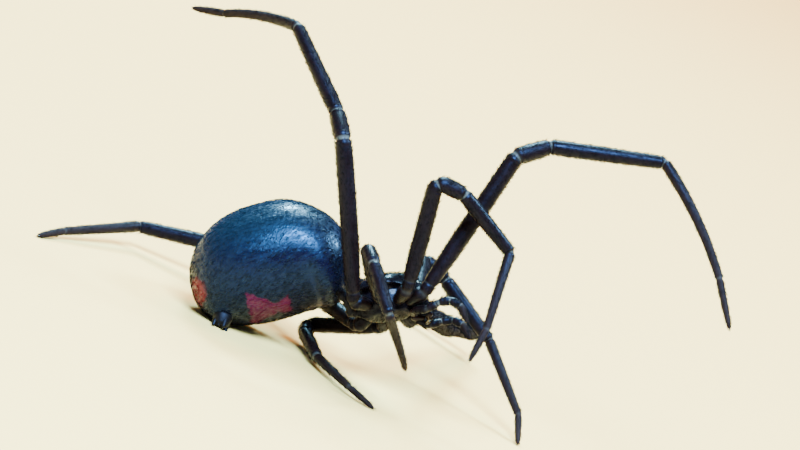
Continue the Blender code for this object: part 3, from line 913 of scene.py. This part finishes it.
def make_abdomen():
    """The globe of the abdomen, full and sagging, with its relief."""
    piece = closed_skin("abdomen_skin", 112, 78)[0]
    places = coordinates(piece)
    fraction = places[:, 2]
    around = np.arctan2(places[:, 1], places[:, 0])
    full = (1.0 - np.abs(fraction) ** ABDOMEN_FULLNESS).clip(0.0) ** (1.0 / ABDOMEN_FULLNESS)
    length, width, height = ABDOMEN_HALF
    lobe = 0.5 * FRONT_LOBE * bell(fraction, FRONT_LOBE_PLACE, 0.2)
    sag = -(fraction ** 2) * np.where(fraction < 0.0, REAR_SAG, FRONT_SAG) - lobe
    sag += SHOULDER_RISE * bell(fraction, SHOULDER_PLACE, 0.3)
    own = np.empty_like(places)
    own[:, 0] = fraction * (length - SKIN_INSET)
    own[:, 1] = (width - SKIN_INSET) * full * np.cos(around)
    own[:, 2] = ((height - SKIN_INSET) * full + lobe) * np.sin(around) + sag
    outward = np.stack([own[:, 0] / length ** 2, own[:, 1] / width ** 2, (own[:, 2] - sag) / height ** 2], 1)
    outward /= np.linalg.norm(outward, axis=1)[:, None]
    below = smooth_step(0.2, 0.7, -outward[:, 2])
    forward = own[:, 0]
    furrow = FURROW_FORWARD - FURROW_CURVE * np.abs(own[:, 1])
    swell = abdomen_relief(own, furrow, below, smooth_step(0.2, 0.7, outward[:, 2]))
    own += outward * swell[:, None]
    world = from_abdomen(own)
    world[:, 2] = world[:, 2].clip(0.0)
    lay(piece, world)
    # The hairs lie back and down, and leave the furrow and the foot on the floor bare
    wanted = np.array([-1.0, 0.0, -0.75])
    lie = wanted - outward * (outward @ wanted)[:, None]
    attribute(piece, "lie", lie @ np.array(ABDOMEN_FRAME).T)
    bare = np.maximum(bell(forward, furrow, 0.12) * below, smooth_step(0.25, 0.05, world[:, 2]))
    attribute(piece, "bare", bare.clip(0.0, 1.0))
    point_out(piece)
    smooth(piece)
    lift_to(piece)
    dress(piece, abdomen_look(), "abdomen_black", "abdomen")


def make_pedicel(look):
    """The ringed waist between the two halves of the body."""
    places = np.concatenate([from_thorax(WAIST_FRONT), from_abdomen(WAIST_REAR)])
    steps = np.linspace(0.0, len(places) - 1.0, 41)
    radii = 0.25 + 0.03 * np.cos(steps * 9.0)
    dress(tube("pedicel_skin", between(places, steps), radii, 24), look, "mouthpart_brown", "pedicel")


def make_spinnerets(look):
    """The three pairs of spinnerets on their ringed base."""
    base = np.array(SPINNERET_BASE)
    run = np.array(Vector(SPINNERET_RUN).normalized())
    stem = base + run * np.linspace(-0.2, 0.3, 9)[:, None]
    radii = profile_at(BASE_PROFILE, np.linspace(0.0, 1.0, 9))
    parts = [tube("spinneret_base", from_abdomen(stem), radii, 32, first_cap=0.1, last_cap=0.25)]
    along = np.linspace(0.0, 1.0, 17)
    shape = profile_at(SPINNERET_PROFILE, along)
    for ahead, aside, radius, length in SPINNERETS:
        for side in (-1, 1):
            root = base + np.array([ahead, side * aside, -ahead * 0.45]) + run * 0.02
            way = run + np.array([ahead * 0.3, side * 0.12, 0.0])
            route = root + way * (length * along)[:, None]
            parts.append(tube("spinneret", from_abdomen(route), radius * shape, 16, last_cap=0.35))
    piece = joined("spinnerets_skin", parts)
    lift_to(piece)
    dress(piece, look, "mouthpart_brown", "spinnerets")


# Cephalothorax

def carapace_half_width(forward):
    """Half the width of the carapace at a place along it."""
    narrowing = HEAD_HALF_WIDTH - CARAPACE_HALF_WIDTH
    return CARAPACE_HALF_WIDTH + narrowing * smooth_step(0.05, 1.35, forward)


def carapace_height(forward, left, size):
    """Height of the carapace's surface where it has a share of its outline's size."""
    dome = CARAPACE_TOP - CARAPACE_RIM
    height = CARAPACE_RIM + 0.08 + (dome - 0.08) * (1.0 - size ** 2.6).clip(0.0) ** 0.62
    height += 0.2 * smooth_step(0.1, 1.0, forward) * (1.0 - size ** 3).clip(0.0)
    back = forward - FOVEA_FORWARD
    height -= 0.17 * np.exp(-(back / 0.3) ** 2 - (left / 0.14) ** 2)
    height -= 0.1 * np.exp(-(back / 0.5) ** 2 - (left / 0.4) ** 2)
    inner = (1.0 - size ** 4).clip(0.0)
    spread = np.arctan2(np.abs(left), back)
    far = np.hypot(back, left)
    for angle in CARAPACE_FURROWS:
        height -= 0.045 * bell(spread, angle, 0.085) * smooth_step(0.15, 0.5, far) * inner
    return height


def carapace_side(angle):
    """How far out sideways the carapace's outline is at an angle round it, from -1 to 1."""
    return np.sign(np.sin(angle)) * np.abs(np.sin(angle)) ** 0.85


def carapace_skin(share, angle):
    """The carapace's surface from its middle to its rim."""
    size = np.sin(share * math.pi / 2.0)
    forward = CARAPACE_HALF_LENGTH * size * np.cos(angle)
    left = carapace_half_width(forward) * size * carapace_side(angle)
    return np.stack([forward, left, carapace_height(forward, left, size)], 1)


def under_skin(share, angle):
    """The surface from the rim, over the body wall, to the middle of the sternum."""
    rim_size = profile_at(RIM_SIZES, share)
    rim_forward = CARAPACE_HALF_LENGTH * rim_size * np.cos(angle)
    rim_left = carapace_half_width(rim_forward) * rim_size * carapace_side(angle)
    point = 1.0 + 0.12 * bell(np.cos(angle), -1.0, 0.35)
    scallop = 1.0 + 0.05 * np.cos(angle * 8.0) * bell(share, 0.6, 0.09)
    stern_size = profile_at(STERNUM_SIZES, share)
    stern_forward = STERNUM_HALF_LENGTH * stern_size * np.cos(angle) * point
    stern_left = STERNUM_HALF_WIDTH * stern_size * np.sin(angle)
    blend = smooth_step(0.08, 0.24, share)
    return np.stack([
        rim_forward + (stern_forward * scallop - rim_forward) * blend,
        rim_left + (stern_left * scallop - rim_left) * blend,
        profile_at(UNDER_HEIGHTS, share),
    ], 1)


def make_cephalothorax():
    """The carapace with its furrows and head, over the body wall and the sternum."""
    segments, rings = 120, 86
    piece, row, column = closed_skin("cephalothorax_skin", segments, rings)
    share = row / (rings + 1.0)
    angle = 2.0 * math.pi * column / segments
    on_top = (share <= CARAPACE_SHARE)[:, None]
    top_share = (share / CARAPACE_SHARE).clip(0.0, 1.0)
    under_share = ((share - CARAPACE_SHARE) / (1.0 - CARAPACE_SHARE)).clip(0.0, 1.0)
    own = np.where(on_top, carapace_skin(top_share, angle), under_skin(under_share, angle))
    lay(piece, from_thorax(own))
    # The hairs lie forward on the carapace and back below, and leave the body wall bare
    lie = np.where(on_top, np.array([1.0, 0.0, 0.0]), np.array([-1.0, 0.0, 0.0]))
    attribute(piece, "lie", lie @ np.array(THORAX_FRAME).T)
    wall = smooth_step(0.03, 0.1, under_share) * smooth_step(0.62, 0.52, under_share)
    attribute(piece, "bare", wall.clip(0.0, 1.0))
    point_out(piece)
    smooth(piece)
    look = body_look("carapace_cuticle", colours().carapace, 0.3, 0.05)
    dress(piece, look, "carapace_black", "cephalothorax")


def surface_under(skin):
    """A searchable copy of a skin's surface, in millimetres."""
    skin.data.calc_loop_triangles()
    points = [vertex.co / MM for vertex in skin.data.vertices]
    return BVHTree.FromPolygons(points, [tuple(t.vertices) for t in skin.data.loop_triangles])


def make_eyes(skin):
    """Eight domed eyes, each in its raised socket, half sunk in the head."""
    surface = surface_under(skin)
    balls = []
    sockets = []
    for forward, aside, above, scale in EYES:
        for side in (-1, 1):
            own = Vector((forward, side * aside, CARAPACE_RIM + above))
            place, normal = surface.find_nearest(THORAX_CENTRE + THORAX_FRAME @ own)[:2]
            size = sizes().eye_radius / MM * scale
            lift = normal.to_track_quat("Z", "Y").to_matrix()
            ball = closed_skin("eye", 28, 17)[0]
            shape = coordinates(ball) * size
            shape[:, 2] *= EYE_DOME
            lay(ball, out_of(shape, place - normal * size * EYE_SINK, lift))
            balls.append(ball)
            deselect()
            bpy.ops.mesh.primitive_torus_add(
                major_segments=28, minor_segments=10, major_radius=1.0, minor_radius=SOCKET_THICKNESS)
            socket = bpy.context.object
            bpy.ops.object.shade_smooth()
            shape = coordinates(socket) * size * 1.02
            lay(socket, out_of(shape, place + normal * size * 0.02, lift))
            sockets.append(socket)
    dress(joined("eyes", balls), eye_look(), "carapace_black")
    look = body_look("socket_cuticle", colours().carapace, 0.34, 0.1)
    dress(joined("eye_sockets", sockets), look, "carapace_black")


def mouth_plate(name, centre, half, spin):
    """A rounded plate on the underside of the head."""
    piece = closed_skin(name, 32, 20)[0]
    own = coordinates(piece)
    own = np.sign(own) * np.abs(own) ** 0.9 * np.array(half)
    lay(piece, from_thorax(out_of(own, centre, Matrix.Rotation(math.radians(spin), 3, "Z"))))
    point_out(piece)
    return piece


def make_mouthparts(look):
    """The jaws with their fangs, the plates beside the mouth and the lip."""
    jaws = []
    fangs = []
    plates = []
    steps = np.linspace(0.0, len(JAW_ROUTE) - 1.0, 36)
    radii = profile_at(JAW_PROFILE, steps / steps[-1])
    turn = np.linspace(0.0, 1.0, 20)
    bow = np.stack([1.8 - 0.22 * turn ** 1.6, 0.21 - 0.16 * turn, -0.92 - 0.3 * np.sin(turn * 1.5)], 1)
    sharpened = 0.062 * (1.0 - turn) ** 0.6 + 0.006
    for side in (-1, 1):
        mirror = np.array([1, side, 1])
        route = between(np.array(JAW_ROUTE) * mirror, steps)
        jaws.append(tube(f"jaw_{side}", from_thorax(route), radii, 28, last_cap=0.5))
        fangs.append(tube(f"fang_{side}", from_thorax(bow * mirror), sharpened, 16, last_cap=1.2))
        place = np.array(MAXILLA_PLACE) * mirror
        plates.append(mouth_plate(f"maxilla_{side}", place, MAXILLA_HALF, side * MAXILLA_SPIN))
    plates.append(mouth_plate("labium", LABIUM_PLACE, LABIUM_HALF, 0.0))
    dress(joined("chelicerae_skin", jaws), look, "mouthpart_brown", "chelicerae")
    dress(joined("fangs", fangs), horn_look(), "mouthpart_brown")
    dress(joined("mouth_plates", plates), look, "mouthpart_brown")


# Palps and legs

def bows_of(leg, names, runs):
    """How far the middle of each bowed segment of a leg stands off its straight run."""
    bows = {}
    if leg in METATARSUS_BOWS:
        i = names.index("metatarsus")
        bows[i] = (runs[i - 1] - runs[i] * runs[i - 1].dot(runs[i])) * METATARSUS_BOWS[leg]
    if leg in FEMUR_BOWS:
        i = names.index("femur")
        bows[i] = (runs[i] * runs[i + 1].dot(runs[i]) - runs[i + 1]) * FEMUR_BOWS[leg]
    return bows


def limb_marks(names, segment, fraction, fold):
    """Where a limb has pale joint skin, a brown end and no hairs."""
    end = np.zeros(len(segment))
    for index, label in enumerate(names):
        if label == "metatarsus":
            end = np.where(segment == index, 0.25 + 0.45 * fraction, end)
        if label == "tarsus":
            end = np.where(segment == index, 0.7 + 0.3 * fraction, end)
    femur, patella, tibia = (names.index(label) for label in ("femur", "patella", "tibia"))
    knee = np.isin(segment, [femur, patella, tibia])
    pale = np.where(knee & ~((segment == femur) & (fraction < 0.5)), 1.0, 0.25)
    return {
        "membrane": smooth_step(0.45, 0.9, fold) * pale,
        "leg_end": end,
        "bare": (fold * 1.3).clip(0.0, 1.0),
    }


def limb(name, joints, names, profiles, scale, sides, root_sink, leg=None):
    """One skin over a whole limb: bulging segments with pale folds at their joints."""
    start_run = (joints[1] - joints[0]).normalized()
    joints = [joints[0] - start_run * root_sink, *joints[1:]]
    radii_at = [profiles[segment][0][1] * scale for segment in names]
    radii_at.append(profiles[names[-1]][-1][1] * scale)
    places, segment, fraction, gap = bent_route(joints, [radius * BEND_SHARE for radius in radii_at])
    runs = [(b - a).normalized() for a, b in zip(joints, joints[1:])]
    share = fraction.clip(0.0, 1.0)
    for i, bow in bows_of(leg, names, runs).items():
        places += np.where(segment == i, 4.0 * share * (1.0 - share), 0.0)[:, None] * np.array(bow)
    radii = np.empty(len(places))
    for index, label in enumerate(names):
        here = segment == index
        radii[here] = profile_at(profiles[label], fraction[here]) * scale
    fold = bell(gap, 0.0, FOLD_WIDTH)
    radii *= 1.0 - FOLD_DEPTH * fold
    radii *= 1.0 + LIP_HEIGHT * bell(np.abs(gap), LIP_AWAY, 0.06)
    if names[0] == "coxa":
        length = (joints[2] - joints[1]).length
        trochanter = np.where(segment == 1, bell(fraction * length, TROCHANTER_PLACE, 0.06), 0.0)
        radii *= 1.0 - TROCHANTER_DEPTH * trochanter
        fold = np.maximum(fold, trochanter * 0.8)
    return tube(name, places, radii, sides, limb_marks(names, segment, fraction, fold), last_cap=0.9)


def leg_joints(side_name, pair):
    """The joint places of one leg from its coxa's root to its tip."""
    side = SIDES[side_name]
    root_forward, root_left = COXA_ROOTS[pair]
    hip_forward, hip_left = HIPS[pair]
    joints = [
        THORAX_CENTRE + THORAX_FRAME @ Vector((root_forward, side * root_left, COXA_UP)),
        THORAX_CENTRE + THORAX_FRAME @ Vector((hip_forward, side * hip_left, HIP_UP)),
    ]
    for length, (heading, pitch) in zip(LENGTHS[pair], POSES[side_name, pair]):
        if pitch is None:
            pitch = math.degrees(math.asin((TIP_HEIGHT - joints[-1].z) / length))
        joints.append(joints[-1] + direction(heading, pitch) * length)
    return joints


def make_legs():
    """The eight legs; the left one of the first pair has a dull finish."""
    glossy = leg_look()
    dull = leg_look("leg_cuticle_dull", 0.78, 0.9)
    for side_name, pair in LEGS:
        look = dull if (side_name, pair) == ("left", 1) else glossy
        piece = limb(f"leg_{side_name}_{pair}_skin", leg_joints(side_name, pair), SEGMENTS, PROFILES,
                     THICKNESS[pair], sizes().leg_sides, ROOT_SINK, (side_name, pair))
        lift_to(piece)
        dress(piece, look, "leg_black", *(f"leg_{side_name}_{pair}_{segment}" for segment in SEGMENTS))


def make_palps():
    look = leg_look()
    for side_name, side in SIDES.items():
        joints = [THORAX_CENTRE + THORAX_FRAME @ Vector((f, side * a, u)) for f, a, u in PALP_ROUTE]
        piece = limb(f"palp_{side_name}_skin", joints, PALP_SEGMENTS, PALP_PROFILES, 1.0, 24, 0.0)
        dress(piece, look, "mouthpart_brown", f"palp_{side_name}")


def make_claws():
    """Two claws and a small hook at the end of every leg."""
    claws = []
    turn = np.linspace(0.0, 1.0, 9)
    for leg in LEGS:
        joints = leg_joints(*leg)
        run = (joints[-1] - joints[-2]).normalized()
        before = (joints[-2] - joints[-3]).normalized()
        bend_way = before - run * before.dot(run)
        if bend_way.length < 1e-3:
            bend_way = run.orthogonal()
        down = -bend_way.normalized()
        across = run.cross(down)
        for aside, length, radius in CLAWS:
            root = joints[-1] - run * 0.02 + across * aside
            bow = []
            for share in turn:
                ahead = run * length * math.sin(share * CLAW_TURN)
                dip = down * length * CLAW_DIP * (1.0 - math.cos(share * CLAW_TURN))
                bow.append(tuple(root + ahead + dip + across * aside * share * CLAW_SPREAD))
            claws.append(tube("claw", bow, radius * (1.0 - turn) ** 0.7 + 0.002, 8))
    piece = joined("claws", claws)
    lift_to(piece, CLAW_HEIGHT)
    dress(piece, horn_look(), "leg_end_brown")


# Setae

def scattered(skin, count, draw):
    """Random places on a skin, fewer where it is bare: root, normal, lie and place on its unwrap."""
    mesh = skin.data
    mesh.calc_loop_triangles()
    corners = read(mesh.loop_triangles, "vertices", 3, np.int32)
    loops = read(mesh.loop_triangles, "loops", 3, np.int32)
    places = coordinates(skin) / MM
    normals = read(mesh.vertices, "normal", 3)
    lies = read(mesh.attributes["lie"].data, "vector", 3)
    bare = np.zeros(len(mesh.vertices))
    if "bare" in mesh.attributes:
        bare = read(mesh.attributes["bare"].data, "value", 1).ravel()
    unwrap = read(mesh.uv_layers[0].data, "uv", 2)
    sides = places[corners]
    areas = np.linalg.norm(np.cross(sides[:, 1] - sides[:, 0], sides[:, 2] - sides[:, 0]), axis=1)
    weights = areas * (1.0 - bare[corners].mean(axis=1)).clip(0.0, 1.0)
    picked = draw.choice(len(corners), size=count, p=weights / weights.sum())
    shares = np.sqrt(draw.random(count))[:, None]
    second = draw.random(count)[:, None]
    mixing = np.concatenate([1.0 - shares, shares * (1.0 - second), shares * second], axis=1)
    corners = corners[picked]
    at_corners = (places[corners], normals[corners], lies[corners], unwrap[loops[picked]])
    root, normal, lie, at = ((values * mixing[:, :, None]).sum(axis=1) for values in at_corners)
    return root, unit(normal), lie, at


def spikes(name, base, middle, tip, across, upward, radius, at):
    """A mesh of closed spikes of three sides with one bend, each mapped round one place."""
    count = len(base)
    points = np.empty((count, 7, 3))
    points[:, 6] = tip
    spots = np.zeros((7, 2))
    shape = [(0, 2, 1)]
    for corner in range(3):
        angle = 2.0 * math.pi * corner / 3.0
        spoke = (across * math.cos(angle) + upward * math.sin(angle)) * radius
        points[:, corner] = base + spoke
        points[:, 3 + corner] = middle + spoke * SETA_WAIST
        spots[corner] = (math.cos(angle) * SETA_PATCH, math.sin(angle) * SETA_PATCH)
        spots[3 + corner] = spots[corner] * 0.5
        after = (corner + 1) % 3
        shape += [(corner, after, 3 + after), (corner, 3 + after, 3 + corner), (3 + corner, 3 + after, 6)]
    shape = np.array(shape)
    faces = (shape[None] + (np.arange(count) * 7)[:, None, None]).reshape(-1, 3)
    made = bpy.data.meshes.new(name)
    made.vertices.add(count * 7)
    made.vertices.foreach_set("co", (points * MM).ravel())
    made.loops.add(faces.size)
    made.loops.foreach_set("vertex_index", faces.ravel().astype(np.int32))
    made.polygons.add(len(faces))
    made.polygons.foreach_set("loop_start", np.arange(0, faces.size, 3, dtype=np.int32))
    made.update(calc_edges=True)
    layer = made.uv_layers.new(name="OFBake")
    placed = at[:, None, None] + spots[shape.ravel()][None]
    layer.data.foreach_set("uv", placed.clip(0.0, 1.0).ravel())
    made.shade_smooth()
    return made


def grow_setae(name, skin, count, length, seed, look, slot, lift=(12.0, 30.0), spread=0.25):
    """Fine tapered hairs all over a skin, rooted in it and leaning along its lie.

    The lift is the least and greatest angle off the skin, in degrees, and the spread is how far
    the hairs stray to either side.
    """
    draw = np.random.default_rng(seed)
    root, normal, lie, at = scattered(skin, count, draw)
    lie = lie - normal * (lie * normal).sum(axis=1)[:, None]
    lie = unit(lie + 1e-6)
    lie = unit(lie + np.cross(normal, lie) * draw.normal(0.0, spread, count)[:, None])
    rise = np.radians(draw.uniform(*lift, count))[:, None]
    heading = unit(lie * np.cos(rise) + normal * np.sin(rise))
    reach = (length / MM) * draw.uniform(*SETA_LENGTHS, count)[:, None]
    radius = (sizes().seta_radius / MM) * draw.uniform(*SETA_RADII, count)[:, None]
    base = root - normal * SETA_ROOT
    middle = root + heading * reach * SETA_BEND
    bowed = unit(heading * 0.55 + lie * 0.6)
    tip = middle + bowed * reach * (1.0 - SETA_BEND)
    across = unit(np.cross(heading, normal) + 1e-6)
    upward = np.cross(heading, across)
    keep = (tip[:, 2] > SETA_FLOOR) & (middle[:, 2] > SETA_FLOOR)
    kept = (values[keep] for values in (base, middle, tip, across, upward, radius, at))
    coat = bpy.data.objects.new(name, spikes(name, *kept))
    bpy.context.scene.collection.objects.link(coat)
    dress(coat, look, slot)


# Stage

def soft_light(name, way, distance, size, power, colour):
    """A soft light that faces the animal."""
    lamp = bpy.data.lights.new(name, "AREA")
    lamp.shape = "RECTANGLE"
    lamp.size = size[0] * MM
    lamp.size_y = size[1] * MM
    lamp.energy = power
    lamp.color = colour
    made = bpy.data.objects.new(name, lamp)
    bpy.context.scene.collection.objects.link(made)
    place = VIEW_TARGET + way * distance
    made.location = place * MM
    made.rotation_euler = (place - VIEW_TARGET).to_track_quat("Z", "Y").to_euler()
    return made


def make_floor():
    deselect()
    bpy.ops.mesh.primitive_plane_add(size=FLOOR_SIZE, location=(0.0, 0.0, 0.0))
    floor = bpy.context.object
    floor.name = "floor"
    made, tree, shader = new_material("floor_paper", 0.9, 0.1)
    coords = node(tree, "ShaderNodeTexCoord")
    tone = noise(tree, coords.outputs["Object"], 9.0, 2.0)
    colour = colours().floor
    link(tree, mixed(tree, tone, shade(colour, 0.97), shade(colour, 1.02)), shader.inputs["Base Color"])
    floor.data.materials.append(made)


def make_lights():
    """A cool studio air, three soft lights that shine in the cuticle and one that doesn't."""
    world = bpy.data.worlds.new("studio_air")
    world.use_nodes = True
    air = world.node_tree.nodes["Background"]
    air.inputs["Color"].default_value = AIR_COLOUR
    air.inputs["Strength"].default_value = AIR_STRENGTH
    bpy.context.scene.world = world
    lights = {name: soft_light(name, *values) for name, values in LIGHTS.items()}
    lights["floor_glow"].visible_glossy = False


def make_camera():
    """A long lens that shows the animal as the photograph does."""
    lens = bpy.data.cameras.new("photo_camera")
    lens.sensor_width = SENSOR
    lens.sensor_fit = "HORIZONTAL"
    lens.lens = SENSOR * VIEW_DISTANCE / FRAME_WIDTH
    lens.clip_start = 0.005
    lens.clip_end = 20.0
    camera = bpy.data.objects.new("photo_camera", lens)
    bpy.context.scene.collection.objects.link(camera)
    place = Matrix((VIEW_RIGHT, VIEW_UP, VIEW_BACK)).transposed().to_4x4()
    place.translation = (VIEW_TARGET + VIEW_BACK * VIEW_DISTANCE) * MM
    camera.matrix_world = place
    bpy.context.scene.camera = camera


# Operators

def found(name):
    """A piece that an earlier operator made."""
    if name not in bpy.data.objects:
        raise RuntimeError(f"{name} is made first")
    return bpy.data.objects[name]


class SPIDER_OT_stage(Operator):
    """Set the floor, the soft lights and the camera."""
    bl_idname = "spider.stage"
    bl_label = "Stage"

    def execute(self, context):
        make_floor()
        make_lights()
        make_camera()
        return {"FINISHED"}


class SPIDER_OT_abdomen(Operator):
    """Make the abdomen, its waist and its spinnerets."""
    bl_idname = "spider.abdomen"
    bl_label = "Abdomen"

    def execute(self, context):
        make_abdomen()
        look = body_look("joint_cuticle", JOINT_BLACK, 0.45, 0.0)
        make_pedicel(look)
        make_spinnerets(look)
        return {"FINISHED"}


class SPIDER_OT_cephalothorax(Operator):
    """Make the cephalothorax with its carapace and sternum."""
    bl_idname = "spider.cephalothorax"
    bl_label = "Cephalothorax"

    def execute(self, context):
        make_cephalothorax()
        return {"FINISHED"}


class SPIDER_OT_eyes(Operator):
    """Set the eight eyes in the head."""
    bl_idname = "spider.eyes"
    bl_label = "Eyes"

    def execute(self, context):
        make_eyes(found("cephalothorax_skin"))
        return {"FINISHED"}


class SPIDER_OT_mouthparts(Operator):
    """Make the jaws, fangs and mouth plates."""
    bl_idname = "spider.mouthparts"
    bl_label = "Mouthparts"

    def execute(self, context):
        make_mouthparts(body_look("jaw_cuticle", JAW_BLACK, 0.3, 0.05))
        return {"FINISHED"}


class SPIDER_OT_palps(Operator):
    """Make the two palps."""
    bl_idname = "spider.palps"
    bl_label = "Palps"

    def execute(self, context):
        make_palps()
        return {"FINISHED"}


class SPIDER_OT_legs(Operator):
    """Make the eight legs."""
    bl_idname = "spider.legs"
    bl_label = "Legs"

    def execute(self, context):
        make_legs()
        return {"FINISHED"}


class SPIDER_OT_claws(Operator):
    """Make the claws at the ends of the legs."""
    bl_idname = "spider.claws"
    bl_label = "Claws"

    def execute(self, context):
        make_claws()
        return {"FINISHED"}


class SPIDER_OT_setae(Operator):
    """Grow the fine hairs on body, palps and legs."""
    bl_idname = "spider.setae"
    bl_label = "Setae"

    def execute(self, context):
        size = sizes()
        dark = seta_look("leg_setae", False)
        grow_setae("abdomen_setae", found("abdomen_skin"), size.abdomen_setae, size.body_seta, 11,
                   seta_look("abdomen_setae", True), "abdomen_black", (6.0, 20.0), 0.1)
        grow_setae("cephalothorax_setae", found("cephalothorax_skin"), size.thorax_setae, size.body_seta, 12,
                   dark, "carapace_black", (20.0, 45.0), 0.3)
        for name, count, seed in (("chelicerae", 500, 13), ("palp_left", 800, 14), ("palp_right", 800, 15)):
            grow_setae(f"{name}_setae", found(f"{name}_skin"), count, size.body_seta, seed, dark,
                       "mouthpart_brown")
        for seed, (side_name, pair) in enumerate(LEGS, 20):
            name = f"leg_{side_name}_{pair}"
            count = int(size.leg_setae * sum(LENGTHS[pair]) / sum(LENGTHS[1]))
            grow_setae(f"{name}_setae", found(f"{name}_skin"), count, size.leg_seta, seed, dark, "leg_black")
        return {"FINISHED"}


class SPIDER_PT_panel(Panel):
    """Lists the spider's operators and values."""
    bl_idname = "SPIDER_PT_panel"
    bl_label = "Black Widow Spider"
    bl_space_type = "VIEW_3D"
    bl_region_type = "UI"
    bl_category = "Spider"

    def draw(self, context):
        for step in STEPS:
            self.layout.operator(step.bl_idname)
        for group in (context.scene.spider_sizes, context.scene.spider_colours):
            box = self.layout.box()
            for name in group.__annotations__:
                box.prop(group, name)


STEPS = (
    SPIDER_OT_stage, SPIDER_OT_abdomen, SPIDER_OT_cephalothorax, SPIDER_OT_eyes,
    SPIDER_OT_mouthparts, SPIDER_OT_palps, SPIDER_OT_legs, SPIDER_OT_claws, SPIDER_OT_setae,
)
CLASSES = (SpiderSizes, SpiderColours, *STEPS, SPIDER_PT_panel)


def register():
    for item in CLASSES:
        register_class(item)
    bpy.types.Scene.spider_sizes = PointerProperty(type=SpiderSizes)
    bpy.types.Scene.spider_colours = PointerProperty(type=SpiderColours)


def unregister():
    del bpy.types.Scene.spider_colours
    del bpy.types.Scene.spider_sizes
    for item in reversed(CLASSES):
        unregister_class(item)


def main():
    register()
    for step in STEPS:
        group, name = step.bl_idname.split(".")
        getattr(getattr(bpy.ops, group), name)()


if __name__ == "__main__":
    main()
